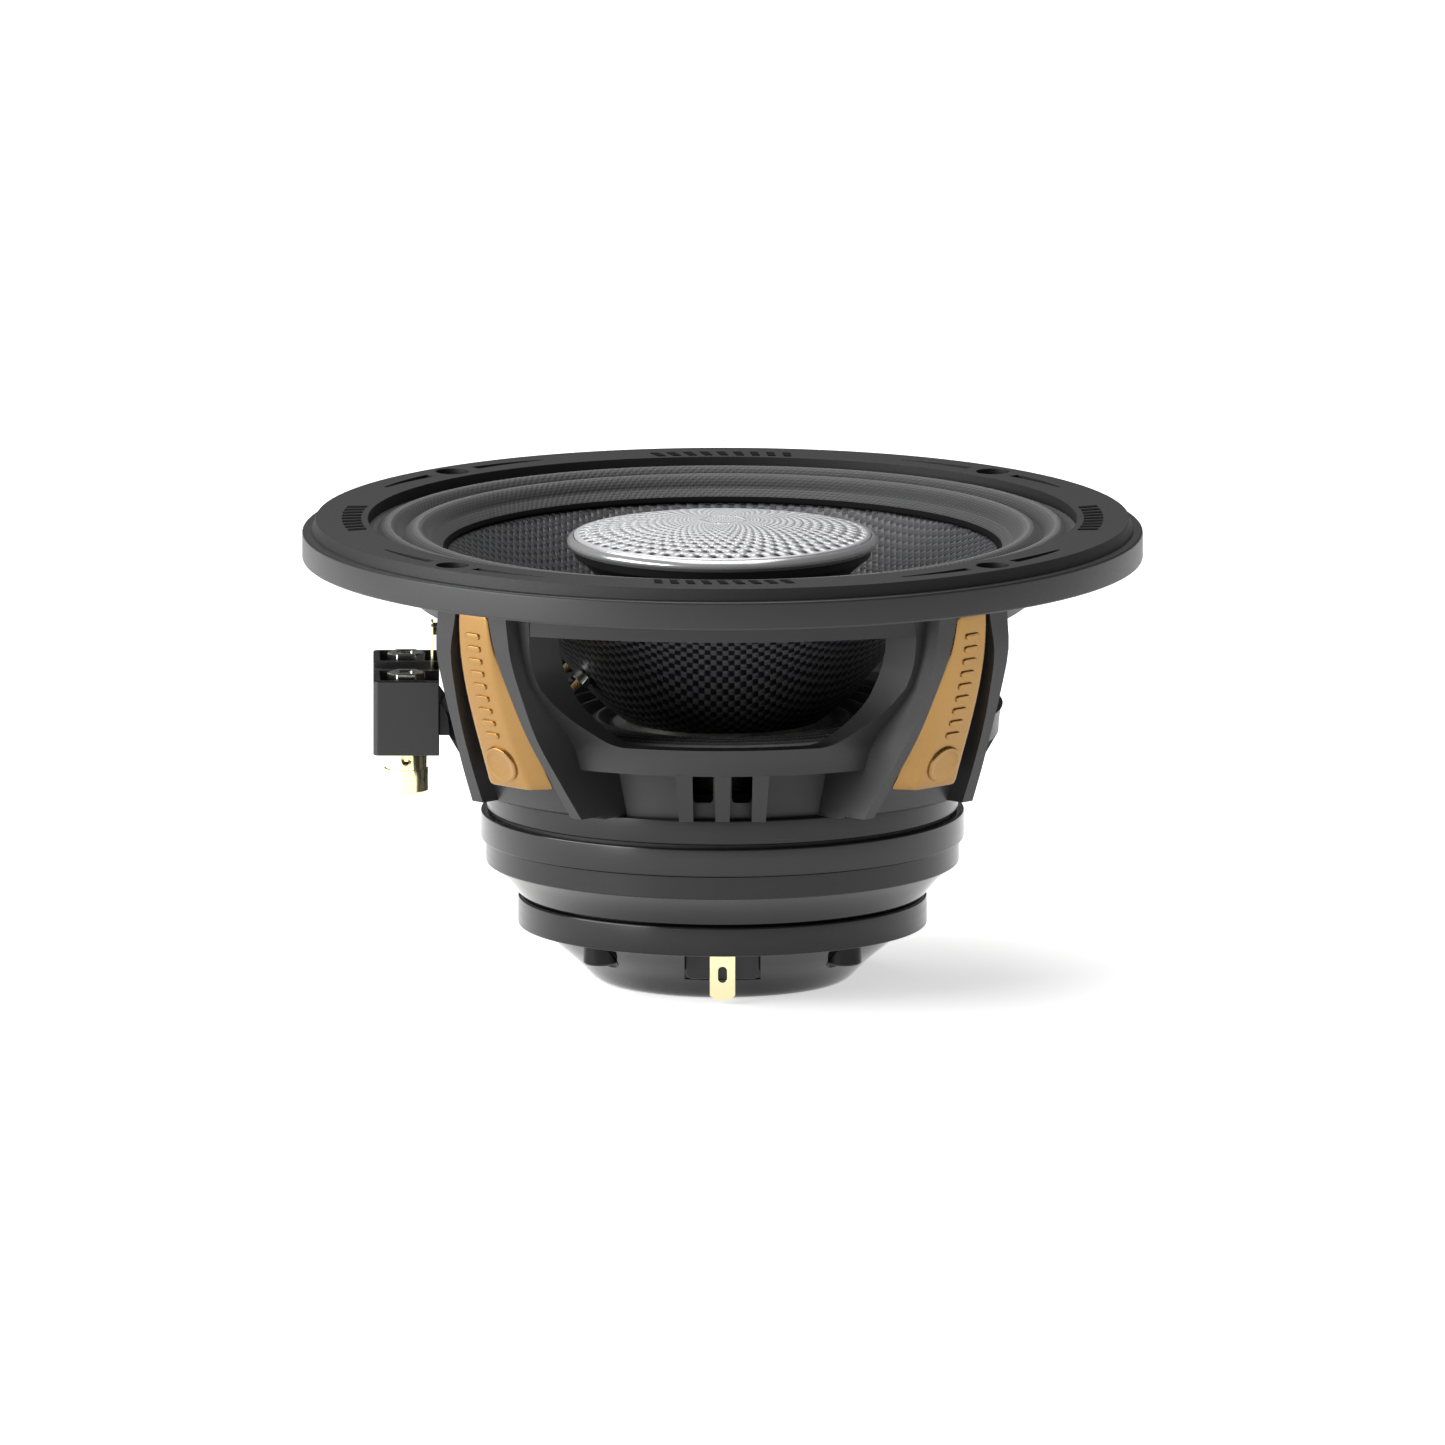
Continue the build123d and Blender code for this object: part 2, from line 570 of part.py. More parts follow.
# ---------------------------------------------------------------- compression driver
CAVITY_TOP = BACK_LOW - ADAPTER_WALL
FILLET_R = BACK_R - DRIVER_R
with BuildPart() as driver_adapter:
    with BuildSketch(Plane.XZ) as section:
        with BuildLine():
            Line((THROAT_R, BACK_LOW), (BACK_R - 0.4, BACK_LOW))
            ThreePointArc((BACK_R - 0.4, BACK_LOW), (DRIVER_R + 1.4, BACK_LOW - ADAPTER_T * 0.62),
                          (DRIVER_R - 0.6, DRIVER_TOP))
            Polyline((DRIVER_R - 0.6, DRIVER_TOP), (DRIVER_CAVITY_R, DRIVER_TOP), (DRIVER_CAVITY_R, CAVITY_TOP),
                     (THROAT_R, CAVITY_TOP), (THROAT_R, BACK_LOW))
        make_face()
    revolve(section.sketch, axis=Axis.Z)
    with Locations((0, 0, DRIVER_TOP)):
        with PolarLocations(SCREW_CIRCLE_R, ARMS, start_angle=BOLT_ANGLE):
            Cylinder(SCREW_R, SCREW_DEPTH - DRIVER_T, align=(Align.CENTER, Align.CENTER, Align.MIN),
                     mode=Mode.SUBTRACT)
finish(driver_adapter, "driver_adapter")

with BuildPart() as driver_magnet:
    ring(DRIVER_MAGNET_IN_R, DRIVER_CAVITY_R - CLEARANCE, DRIVER_TOP, CAVITY_TOP)
finish(driver_magnet, "driver_magnet")

DRIVER_BORE_R = DRIVER_COIL_R + DRIVER_COIL_T + DRIVER_GAP
PLUG_R = DRIVER_COIL_R - DRIVER_GAP
with BuildPart() as driver_plate:
    ring(DRIVER_BORE_R, DRIVER_R, DRIVER_LOW, DRIVER_TOP)
    chamfer(driver_plate.edges().filter_by(GeomType.CIRCLE).group_by(SortBy.RADIUS)[-1], 0.3)
    with Locations((0, 0, DRIVER_TOP)):
        with PolarLocations(SCREW_CIRCLE_R, ARMS, start_angle=BOLT_ANGLE):
            Hole(SCREW_R + CLEARANCE, depth=DRIVER_T)
finish(driver_plate, "driver_plate")

# The phase plug carries the sound from behind the diaphragm through a ring of ports into the throat
PLUG_LOW = DRIVER_LOW - 0.4
with BuildPart() as phase_plug:
    turned((0, CAVITY_TOP - 1.5), (THROAT_R - 1.0, CAVITY_TOP), (DRIVER_MAGNET_IN_R - CLEARANCE, CAVITY_TOP),
           (DRIVER_MAGNET_IN_R - CLEARANCE, DRIVER_TOP + 0.4), (PLUG_R, DRIVER_TOP + 0.4), (PLUG_R, PLUG_LOW),
           (PLUG_R * 0.72, PLUG_LOW - DOME_H * 0.55), (PLUG_R * 0.36, PLUG_LOW - DOME_H * 0.84),
           (0, PLUG_LOW - DOME_H * 0.92))
    with Locations((0, 0, (CAVITY_TOP + PLUG_LOW) / 2)):
        with PolarLocations(THROAT_R - 2.9, 8):
            Cylinder(1.5, 30, mode=Mode.SUBTRACT)
finish(phase_plug, "phase_plug")

DIAPHRAGM_Z = DRIVER_LOW - 1.3
SUSPENSION_OUT_R = 19.0
DOME_RISE = DOME_H + 0.2
DOME_SPHERE_R = ((DRIVER_COIL_R + DRIVER_COIL_T)**2 + DOME_RISE**2) / (2 * DOME_RISE)
DIAPHRAGM_EDGE_R = DRIVER_COIL_R + DRIVER_COIL_T
with BuildPart() as driver_diaphragm:
    with Locations((0, 0, DIAPHRAGM_Z - DOME_RISE + DOME_SPHERE_R)):
        Sphere(DOME_SPHERE_R)
        Sphere(DOME_SPHERE_R - DOME_T, mode=Mode.SUBTRACT)
    with Locations((0, 0, DIAPHRAGM_Z + DOME_T)):
        Cylinder(DIAPHRAGM_EDGE_R, 2 * DOME_RISE, align=(Align.CENTER, Align.CENTER, Align.MAX), mode=Mode.INTERSECT)
finish(driver_diaphragm, "driver_diaphragm")

with BuildPart() as driver_coil:
    ring(DRIVER_COIL_R, DRIVER_COIL_R + DRIVER_COIL_T, DIAPHRAGM_Z + DOME_T, DRIVER_TOP - 1.6)
finish(driver_coil, "driver_coil")

with BuildPart() as driver_suspension:
    turned((DIAPHRAGM_EDGE_R, DIAPHRAGM_Z), (DIAPHRAGM_EDGE_R + 1.2, DIAPHRAGM_Z - 0.6), (DIAPHRAGM_EDGE_R + 2.8, DIAPHRAGM_Z - 0.6),
           (DIAPHRAGM_EDGE_R + 4.0, DIAPHRAGM_Z), (SUSPENSION_OUT_R, DIAPHRAGM_Z), (SUSPENSION_OUT_R, DIAPHRAGM_Z + DOME_T),
           (DIAPHRAGM_EDGE_R + 3.8, DIAPHRAGM_Z + DOME_T), (DIAPHRAGM_EDGE_R + 2.7, DIAPHRAGM_Z - 0.3),
           (DIAPHRAGM_EDGE_R + 1.3, DIAPHRAGM_Z - 0.3), (DIAPHRAGM_EDGE_R, DIAPHRAGM_Z + DOME_T))
finish(driver_suspension, "driver_suspension")

with BuildPart() as suspension_ring:
    ring(DIAPHRAGM_EDGE_R + 4.4, SUSPENSION_OUT_R, DIAPHRAGM_Z + DOME_T, DRIVER_LOW)
finish(suspension_ring, "suspension_ring")

with BuildPart() as rear_cap:
    with BuildSketch(Plane.XZ) as section:
        with BuildLine():
            Line((0, CAP_LOW), (CAP_FOOT_R, CAP_LOW))
            Spline((CAP_FOOT_R, CAP_LOW), (26.7, CAP_LOW + 2.1), (28.75, CAP_LOW + 4.2), (33.3, CAP_LOW + 8.0),
                   (CAP_TOP_R, DRIVER_LOW), tangents=((1, 0.12), (1, 0.75)))
            Polyline((CAP_TOP_R, DRIVER_LOW), (CAP_CAVITY_R, DRIVER_LOW), (CAP_CAVITY_R, CAP_LOW + 6.0),
                     (CAP_CAVITY_R - 5, CAP_LOW + CAP_FLOOR), (0, CAP_LOW + CAP_FLOOR), (0, CAP_LOW))
        make_face()
    revolve(section.sketch, axis=Axis.Z)
    # Pockets clear the four screw heads, the two terminal plates and their tabs
    with Locations((0, 0, DRIVER_LOW)):
        with PolarLocations(SCREW_CIRCLE_R, ARMS, start_angle=BOLT_ANGLE):
            Cylinder(SCREW_HEAD_R + 3 * CLEARANCE, 2 * CAP_H, mode=Mode.SUBTRACT)
    for side in (1, -1):
        with BuildSketch(Plane.XY.offset(DRIVER_LOW)) as pocket:
            with Locations((0, side * (REAR_PLATE_R + 3.0))):
                Rectangle(REAR_PLATE_W + 2 * CLEARANCE, 2 * (REAR_PLATE_DEPTH + 3.0))
        extrude(pocket.sketch, amount=-(REAR_PLATE_H + 5 * CLEARANCE), mode=Mode.SUBTRACT)
        with BuildSketch(Plane.XY.offset(DRIVER_LOW)) as tab_slot:
            with Locations((0, side * (REAR_PLATE_R + 3.0))):
                Rectangle(TAB_W + 2 * CLEARANCE, 2 * (3.0 + CLEARANCE))
        extrude(tab_slot.sketch, amount=TAB_LOW - CLEARANCE - DRIVER_LOW, mode=Mode.SUBTRACT)
finish(rear_cap, "rear_cap")

with BuildPart() as driver_screws:
    with Locations((0, 0, DRIVER_LOW)):
        with PolarLocations(SCREW_CIRCLE_R, ARMS, start_angle=BOLT_ANGLE):
            Cylinder(SCREW_HEAD_R, SCREW_HEAD_H, align=(Align.CENTER, Align.CENTER, Align.MAX))
            Cylinder(SCREW_R, SCREW_DEPTH, align=(Align.CENTER, Align.CENTER, Align.MIN))
    with BuildSketch(Plane.XY.offset(DRIVER_LOW - SCREW_HEAD_H)) as sockets:
        with PolarLocations(SCREW_CIRCLE_R, ARMS, start_angle=BOLT_ANGLE):
            RegularPolygon(1.7, 6)
    extrude(sockets.sketch, amount=2.2, mode=Mode.SUBTRACT)
    chamfer(driver_screws.edges().filter_by(GeomType.CIRCLE).group_by(Axis.Z)[0], 0.4)
finish(driver_screws, "driver_screws")

for name, side in (("front", -1), ("back", 1)):
    with BuildPart() as rear_terminal_plate:
        with BuildSketch(Plane.XZ.offset(-side * REAR_PLATE_R)) as face:
            with Locations((0, DRIVER_LOW - REAR_PLATE_H / 2)):
                Rectangle(REAR_PLATE_W, REAR_PLATE_H)
            fillet(face.vertices().group_by(Axis.Z)[0], 1.6)
        extrude(face.sketch, amount=side * REAR_PLATE_DEPTH)
    finish(rear_terminal_plate, f"rear_terminal_plate_{name}")

    with BuildPart() as rear_tab:
        with BuildSketch(Plane.XZ.offset(-side * REAR_PLATE_R)) as face:
            with BuildLine():
                half, flare = TAB_W / 2, TAB_FLARE_W / 2
                Polyline((-flare, DRIVER_LOW), (-half, DRIVER_LOW - 0.9), (-half, TAB_LOW + 0.9),
                         (-half + 0.9, TAB_LOW), (half - 0.9, TAB_LOW), (half, TAB_LOW + 0.9),
                         (half, DRIVER_LOW - 0.9), (flare, DRIVER_LOW), close=True)
            make_face()
            with Locations((0, (DRIVER_LOW + TAB_LOW) / 2)):
                SlotOverall(TAB_SLOT_H, TAB_SLOT_W, rotation=90, mode=Mode.SUBTRACT)
        extrude(face.sketch, amount=-side * TAB_T)
    finish(rear_tab, f"rear_tab_{name}")

# ---------------------------------------------------------------- arm inserts
INSERT_TOP, INSERT_LOW = INSERT_STATIONS[0][0], INSERT_STATIONS[-1][0]
INSERT_LEVELS = [INSERT_TOP, *[row[0] for row in RIB_STATIONS if INSERT_LOW < row[0] < INSERT_TOP], INSERT_LOW]
for number, angle in enumerate(ARM_ANGLES, 1):
    with BuildPart() as arm_insert:
        sections = []
        for z in INSERT_LEVELS:
            face_r, face, base = (between(z, INSERT_STATIONS, column) for column in (1, 2, 3))
            seat = arm_radius(z) + INSERT_GAP
            sections.append((z, [(seat, -base), (face_r, -face), (face_r, face), (seat, base)]))
        arm_loft(angle, sections)
        # Pegs that hold the insert in the arm
        for height in PEG_HEIGHTS:
            with BuildSketch(arm_face(angle).offset(arm_radius(height) - PEG_DEPTH)) as peg:
                with Locations((0, height)):
                    Circle(PEG_R)
            extrude(peg.sketch, amount=PEG_DEPTH + 2)
    finish(arm_insert, f"arm_insert_{number}")

with BuildPart() as basket_screws:
    with Locations((0, 0, FOOT_TOP)):
        with PolarLocations(FOOT_SCREW_CIRCLE_R, ARMS, start_angle=BOLT_ANGLE):
            Cylinder(FOOT_SCREW_R, FOOT_TOP - FOOT_LOW + FOOT_SCREW_DEPTH,
                     align=(Align.CENTER, Align.CENTER, Align.MAX))
            Cylinder(FOOT_SCREW_HEAD_R, FOOT_SCREW_HEAD_H, align=(Align.CENTER, Align.CENTER, Align.MIN))
finish(basket_screws, "basket_screws")

# ---------------------------------------------------------------- side terminal block
BLOCK_STEP = 1.6
BLOCK_FLOOR = BLOCK_TOP - 2.2
WALL = 1.4
with BuildPart() as terminal_block:
    with BuildSketch(Plane.XY.offset(BLOCK_LOW)) as plan:
        with Locations(((BLOCK_OUT_X + BLOCK_IN_X) / 2, 0)):
            Rectangle(BLOCK_IN_X - BLOCK_OUT_X, 2 * BLOCK_HALF_Y)
        fillet(plan.vertices().group_by(Axis.X)[0], 1.2)
    extrude(plan.sketch, amount=BLOCK_TOP - BLOCK_LOW)
    # Two channels on top hold the contact screws; a lower saddle parts them
    with BuildSketch(Plane.XY.offset(BLOCK_TOP)) as channels:
        with Locations((POST_X + 0.7, POST_Y), (POST_X + 0.7, -POST_Y)):
            Rectangle(BLOCK_IN_X - BLOCK_OUT_X - 2 * WALL + 1.6, 2 * (BLOCK_HALF_Y - POST_Y) - 2 * WALL)
    extrude(channels.sketch, amount=BLOCK_FLOOR - BLOCK_TOP, mode=Mode.SUBTRACT)
    with BuildSketch(Plane.XY.offset(BLOCK_TOP)) as saddle:
        with Locations(((BLOCK_OUT_X + BLOCK_IN_X) / 2, 0)):
            Rectangle(BLOCK_IN_X - BLOCK_OUT_X + 1, 2 * (2 * POST_Y - BLOCK_HALF_Y) - 0.4)
    extrude(saddle.sketch, amount=-BLOCK_STEP, mode=Mode.SUBTRACT)
    with Locations((POST_X, POST_Y, BLOCK_LOW), (POST_X, -POST_Y, BLOCK_LOW)):
        Cylinder(COLLAR_BORE_R, SPRING_BORE_TOP - BLOCK_LOW, align=(Align.CENTER, Align.CENTER, Align.MIN),
                 mode=Mode.SUBTRACT)
finish(terminal_block, "terminal_block")

# The bracket fills the space between the block's flat back and the round sill
BRACKET_HALF_Y = 9.0
BRACKET_TOP = -26.5
BRACKET_LOW = -34.0
with BuildPart() as terminal_bracket:
    with Locations((BLOCK_IN_X, 0, BRACKET_LOW)):
        Box(6, 2 * BRACKET_HALF_Y, BRACKET_TOP - BRACKET_LOW, align=(Align.MIN, Align.CENTER, Align.MIN))
    turned(*FRAME_PROFILE, (0, SILL_LOW), (0, FRAME_PROFILE[0][1]), mode=Mode.SUBTRACT)
    ring(0, SILL_R, BRACKET_LOW - 1, SILL_LOW, mode=Mode.SUBTRACT)
finish(terminal_bracket, "terminal_bracket")

with BuildPart() as contact_nuts:
    with BuildSketch(Plane.XY.offset(BLOCK_FLOOR)) as nuts:
        with Locations((POST_X, POST_Y), (POST_X, -POST_Y)):
            RegularPolygon(NUT_AF / 2, 6, major_radius=False)
    extrude(nuts.sketch, amount=NUT_H + 0.4)
    with BuildSketch(Plane.XY.offset(BLOCK_FLOOR + NUT_H + 0.4)) as sockets:
        with Locations((POST_X, POST_Y), (POST_X, -POST_Y)):
            RegularPolygon(1.75, 6, major_radius=False)
    extrude(sockets.sketch, amount=-1.8, mode=Mode.SUBTRACT)
finish(contact_nuts, "contact_nuts")

# Push posts: a fixed collar with a wire slot, and a sprung cap whose cross hole lines up with it when pushed in
WIRE_HOLE_Z = SLEEVE_TOP - WIRE_HOLE_R - 0.6
for name, y in (("front", -POST_Y), ("back", POST_Y)):
    with BuildPart() as post_collar:
        with Locations((POST_X, y, BLOCK_LOW)):
            Cylinder(COLLAR_R, COLLAR_H, align=(Align.CENTER, Align.CENTER, Align.MAX))
            Cylinder(COLLAR_BORE_R, 2 * COLLAR_H, mode=Mode.SUBTRACT)
        with BuildSketch(Plane.XZ.offset(-y)) as slot:
            with Locations((POST_X, BLOCK_LOW - 1.3)):
                SlotOverall(2 * WIRE_HOLE_R + 0.4, 2 * WIRE_HOLE_R, rotation=90)
        extrude(slot.sketch, amount=COLLAR_R + 1, both=True, mode=Mode.SUBTRACT)
    finish(post_collar, f"post_collar_{name}")

    with BuildPart() as push_cap:
        with Locations((POST_X, y, PUSH_CAP_LOW)):
            Cylinder(COLLAR_R + RUNNING_FIT + SLEEVE_T, SLEEVE_TOP - PUSH_CAP_LOW,
                     align=(Align.CENTER, Align.CENTER, Align.MIN))
        with Locations((POST_X, y, PUSH_CAP_LOW + PUSH_CAP_FLOOR)):
            Cylinder(COLLAR_R + RUNNING_FIT, SLEEVE_TOP - PUSH_CAP_LOW, align=(Align.CENTER, Align.CENTER, Align.MIN),
                     mode=Mode.SUBTRACT)
            Cylinder(COLLAR_BORE_R - RUNNING_FIT, PLUNGER_TOP - PUSH_CAP_LOW - PUSH_CAP_FLOOR,
                     align=(Align.CENTER, Align.CENTER, Align.MIN))
        with BuildSketch(Plane.XZ.offset(-y)) as hole:
            with Locations((POST_X, BLOCK_LOW - 1.3 - PUSH_TRAVEL)):
                Circle(WIRE_HOLE_R)
        extrude(hole.sketch, amount=COLLAR_BORE_R, both=True, mode=Mode.SUBTRACT)
        chamfer(push_cap.edges().filter_by(GeomType.CIRCLE).group_by(Axis.Z)[0], 0.3)
    finish(push_cap, f"push_cap_{name}")

    # A coil spring above the plunger returns the cap
    with BuildPart() as post_spring:
        coil_r = COLLAR_BORE_R - SPRING_WIRE / 2 - 2 * CLEARANCE
        low = PLUNGER_TOP + SPRING_WIRE / 2 + 0.02
        high = SPRING_BORE_TOP - SPRING_WIRE / 2 - 0.02
        with BuildLine() as coil:
            Helix(pitch=(high - low) / 5, height=high - low, radius=coil_r, center=(POST_X, y, low))
        with BuildSketch(Plane(origin=coil.line @ 0, z_dir=coil.line % 0)):
            Circle(SPRING_WIRE / 2)
        sweep()
    finish(post_spring, f"post_spring_{name}")

# ---------------------------------------------------------------- solder tags, leads and their eyelets
TAG_X = -57.3
TAG_T = 0.5
TAG_Y = 2.8
TAG_W = 3.0
TAG_TOP = -13.0
with BuildPart() as solder_tags:
    for y in (-TAG_Y, TAG_Y):
        with Locations((TAG_X, y, BLOCK_TOP - BLOCK_STEP)):
            Box(TAG_T, TAG_W, TAG_TOP - BLOCK_TOP + BLOCK_STEP, align=(Align.CENTER, Align.CENTER, Align.MIN))
finish(solder_tags, "solder_tags")

# Tinsel leads run from the tags through the side window to eyelets on the back of the cone
LEAD_R = 0.8
EYELET_ANGLE = 28.0
EYELET_R = 30.5
EYELET_Z = -20.8
EYELET_TILT = 42.0
EYELET_DISC_R = 1.9
EYELET_T = 2.4


def off_eyelet(side, distance):
    """A point straight out from an eyelet's seat on the back of the cone."""
    across = EYELET_R + distance * cos(radians(EYELET_TILT))
    return Vector(-across * cos(radians(EYELET_ANGLE)), side * across * sin(radians(EYELET_ANGLE)),
                  EYELET_Z - distance * sin(radians(EYELET_TILT)))


with BuildPart() as lead_eyelets:
    for side in (-1, 1):
        seat = off_eyelet(side, -0.5)
        with BuildSketch(Plane(origin=seat, z_dir=off_eyelet(side, 1) - seat)) as disc:
            Circle(EYELET_DISC_R)
        extrude(disc.sketch, amount=EYELET_T + 0.5)
    add(cone.part, mode=Mode.SUBTRACT)
finish(lead_eyelets, "lead_eyelets")

for name, side in (("front", -1), ("back", 1)):
    with BuildPart() as lead:
        with BuildLine() as path:
            start = Vector(TAG_X + TAG_T / 2, side * TAG_Y, TAG_TOP - 1.2)
            FilletPolyline(start, start + (4.5, 0, 0), (-47.5, side * 5.4, -20.0), off_eyelet(side, EYELET_T + 7),
                           off_eyelet(side, EYELET_T), radius=(3.0, 4.0, 3.0))
        with BuildSketch(Plane(origin=path.line @ 0, z_dir=path.line % 0)):
            Circle(LEAD_R)
        sweep()
    finish(lead, f"tinsel_lead_{name}")
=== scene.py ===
"""Looks of a coaxial car speaker, laid out as an add-on and run as a script around its CAD frame."""

from math import cos, pi, radians, sin, sqrt

import bmesh
import bpy
import numpy as np
from bpy.props import FloatProperty, FloatVectorProperty, IntProperty, PointerProperty
from bpy.types import Operator, Panel, PropertyGroup
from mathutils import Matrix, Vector
from mathutils.geometry import delaunay_2d_cdt


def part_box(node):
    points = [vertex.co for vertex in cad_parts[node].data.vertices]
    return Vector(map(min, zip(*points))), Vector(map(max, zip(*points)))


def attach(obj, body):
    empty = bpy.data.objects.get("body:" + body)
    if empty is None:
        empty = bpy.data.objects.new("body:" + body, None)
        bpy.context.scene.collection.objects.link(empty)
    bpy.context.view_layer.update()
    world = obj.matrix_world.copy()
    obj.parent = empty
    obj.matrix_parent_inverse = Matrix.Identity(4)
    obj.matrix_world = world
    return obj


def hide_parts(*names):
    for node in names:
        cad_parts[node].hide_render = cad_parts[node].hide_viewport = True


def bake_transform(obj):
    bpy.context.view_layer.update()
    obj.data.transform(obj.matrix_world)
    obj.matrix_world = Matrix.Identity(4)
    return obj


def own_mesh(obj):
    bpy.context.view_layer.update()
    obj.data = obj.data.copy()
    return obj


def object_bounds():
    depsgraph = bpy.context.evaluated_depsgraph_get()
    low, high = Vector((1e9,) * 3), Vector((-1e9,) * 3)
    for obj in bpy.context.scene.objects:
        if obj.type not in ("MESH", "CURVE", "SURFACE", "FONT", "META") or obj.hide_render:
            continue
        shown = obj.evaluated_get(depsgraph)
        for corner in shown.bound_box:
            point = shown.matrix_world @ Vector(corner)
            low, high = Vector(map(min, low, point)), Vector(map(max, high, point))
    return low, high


bl_info = {
    "name": "Coaxial Speaker",
    "version": (1, 0, 0),
    "blender": (4, 5, 0),
    "location": "3D View > Sidebar > Speaker",
    "description": "Builds the finished surfaces of a coaxial car speaker on its CAD frame",
    "category": "Object",
}

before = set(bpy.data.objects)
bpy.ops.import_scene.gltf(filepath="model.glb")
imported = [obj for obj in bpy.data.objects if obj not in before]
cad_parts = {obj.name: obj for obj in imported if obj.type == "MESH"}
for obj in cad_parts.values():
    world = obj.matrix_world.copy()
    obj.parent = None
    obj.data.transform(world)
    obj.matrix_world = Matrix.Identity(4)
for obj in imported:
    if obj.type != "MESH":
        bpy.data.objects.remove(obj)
CAD_BOX = [list(corner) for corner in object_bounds()]
MM = 0.001
CHASSIS = "chassis"
CONE_BODY = "cone_assembly"
SEGMENTS = 288

# ---------------------------------------------------------------- places read from the frame


def low_high(name):
    """A node's lowest and highest corners, in millimetres."""
    low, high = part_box(name)
    return np.array(low) / MM, np.array(high) / MM


def level(name):
    """A node's lowest and highest height, in millimetres."""
    low, high = low_high(name)
    return low[2], high[2]


def reach(name):
    """The outer radius of a round node, in millimetres."""
    return low_high(name)[1][0]


# ---------------------------------------------------------------- properties


def linear(code):
    """An sRGB hex value turned to linear RGBA."""
    channels = [int(code[i:i + 2], 16) / 255 for i in (1, 3, 5)]
    return (*[c / 12.92 if c <= 0.04045 else ((c + 0.055) / 1.055) ** 2.4 for c in channels], 1.0)


def length_property(label, description, size_mm):
    return FloatProperty(name=label, description=description, default=size_mm * MM, unit="LENGTH", precision=5)


def count_property(label, description, value):
    return IntProperty(name=label, description=description, default=value, subtype="UNSIGNED")


def colour_property(label, description, code):
    return FloatVectorProperty(name=label, description=description, default=linear(code), size=4, min=0, max=1,
                               subtype="COLOR")


class SpeakerSizes(PropertyGroup):
    check_pitch: length_property("Cone check", "Width of one check of the cone's weave", 1.18)
    cloth_pitch: length_property("Cloth thread", "Thread pitch of the surround's cloth", 0.62)
    hole_radius: length_property("Hole radius", "Radius of the dome cover's outermost holes", 0.86)
    edge_round: length_property("Edge rounding", "Rounding of the casting's edges", 0.28)
    insert_round: length_property("Insert rounding", "Rounding of the insert's long edges", 0.8)
    holes_round: count_property("Holes round", "Holes in each ring of the dome cover", 54)
    hole_rings: count_property("Hole rings", "Rings of holes in the dome cover", 17)
    bars: count_property("Bars", "Raised bars on each arm insert", 9)


class SpeakerColours(PropertyGroup):
    casting: colour_property("Casting", "Satin black powder coat", "#242425")
    rubber: colour_property("Rubber", "Matt moulded rubber", "#161617")
    cloth: colour_property("Surround cloth", "Impregnated woven cloth", "#242425")
    # The dark and light fibre colours are painted shade and painted sheen on one black fibre
    fibre_painted_shade: colour_property("Dark fibre", "Checks whose fibres turn the light away", "#060607")
    fibre_painted_sheen: colour_property("Light fibre", "Checks whose fibres catch the light", "#565659")
    spider: colour_property("Spider cloth", "Phenolic-dipped cloth", "#161617")
    steel: colour_property("Turned steel", "Black-plated turned steel", "#1A1A1B")
    gloss: colour_property("Gloss black", "Gloss enamel", "#050506")
    silver: colour_property("Cover silver", "Satin silver dome", "#D4D4D6")
    polish: colour_property("Polished ring", "Polished trim ring", "#D6D6D7")
    gold: colour_property("Insert gold", "Satin gold anodising", "#9E7A48")
    plate: colour_property("Gold plate", "Bright gold plating", "#F8EFC0")
    plastic: colour_property("Terminal plastic", "Moulded black plastic", "#1C1C1D")
    nickel: colour_property("Nickel", "Nickel-plated nuts", "#C9C9C6")
    copper: colour_property("Copper", "Enamelled winding wire", "#A8653A")
    braid: colour_property("Tinsel braid", "Braided tinsel lead", "#8C713D")
    floor: colour_property("Floor", "Plain pale floor", "#FBFBFB")


def size_mm(name):
    """A named size, in millimetres."""
    return getattr(bpy.context.scene.speaker_sizes, name) / MM


def count_of(name):
    return getattr(bpy.context.scene.speaker_sizes, name)


def colour(name):
    """A named colour as linear RGBA."""
    return tuple(getattr(bpy.context.scene.speaker_colours, name))


# ---------------------------------------------------------------- materials


def add(tree, kind, inputs=None, **settings):
    """Add one node; inputs takes socket names or numbers to a value or to another node's output."""
    made = tree.nodes.new(kind)
    for key, value in settings.items():
        setattr(made, key, value)
    for socket, value in (inputs or {}).items():
        if isinstance(value, bpy.types.NodeSocket):
            tree.links.new(value, made.inputs[socket])
        else:
            made.inputs[socket].default_value = value
    return made


def new_material(name, **shader):
    """A material with one Principled shader; gives the material, its tree and the shader."""
    material = bpy.data.materials.new(name)
    material.use_nodes = True
    tree = material.node_tree
    tree.nodes.clear()
    surface = add(tree, "ShaderNodeBsdfPrincipled", {key.replace("_", " "): value
                                                     for key, value in shader.items()})
    add(tree, "ShaderNodeOutputMaterial", {"Surface": surface.outputs[0]})
    return material, tree, surface


def grain(tree, size_mm, detail=2.0, stretch=(1, 1, 1)):
    """Noise of about one grain size on Object coordinates, stretched along an axis where asked."""
    place = add(tree, "ShaderNodeTexCoord")
    scaled = add(tree, "ShaderNodeMapping", {"Vector": place.outputs["Object"], "Scale": stretch})
    return add(tree, "ShaderNodeTexNoise",
               {"Vector": scaled.outputs[0], "Scale": 1 / (size_mm * MM), "Detail": detail}).outputs[0]


def spread(tree, value, low, high):
    """Map a 0 to 1 value onto a range."""
    return add(tree, "ShaderNodeMapRange", {"Value": value, "To Min": low, "To Max": high}).outputs[0]


def bump(tree, surface, height, depth_mm, strength=0.5):
    made = add(tree, "ShaderNodeBump", {"Height": height, "Distance": depth_mm * MM, "Strength": strength})
    tree.links.new(made.outputs[0], surface.inputs["Normal"])


def shade(rgba, factor):
    return (*[min(1.0, c * factor) for c in rgba[:3]], 1.0)


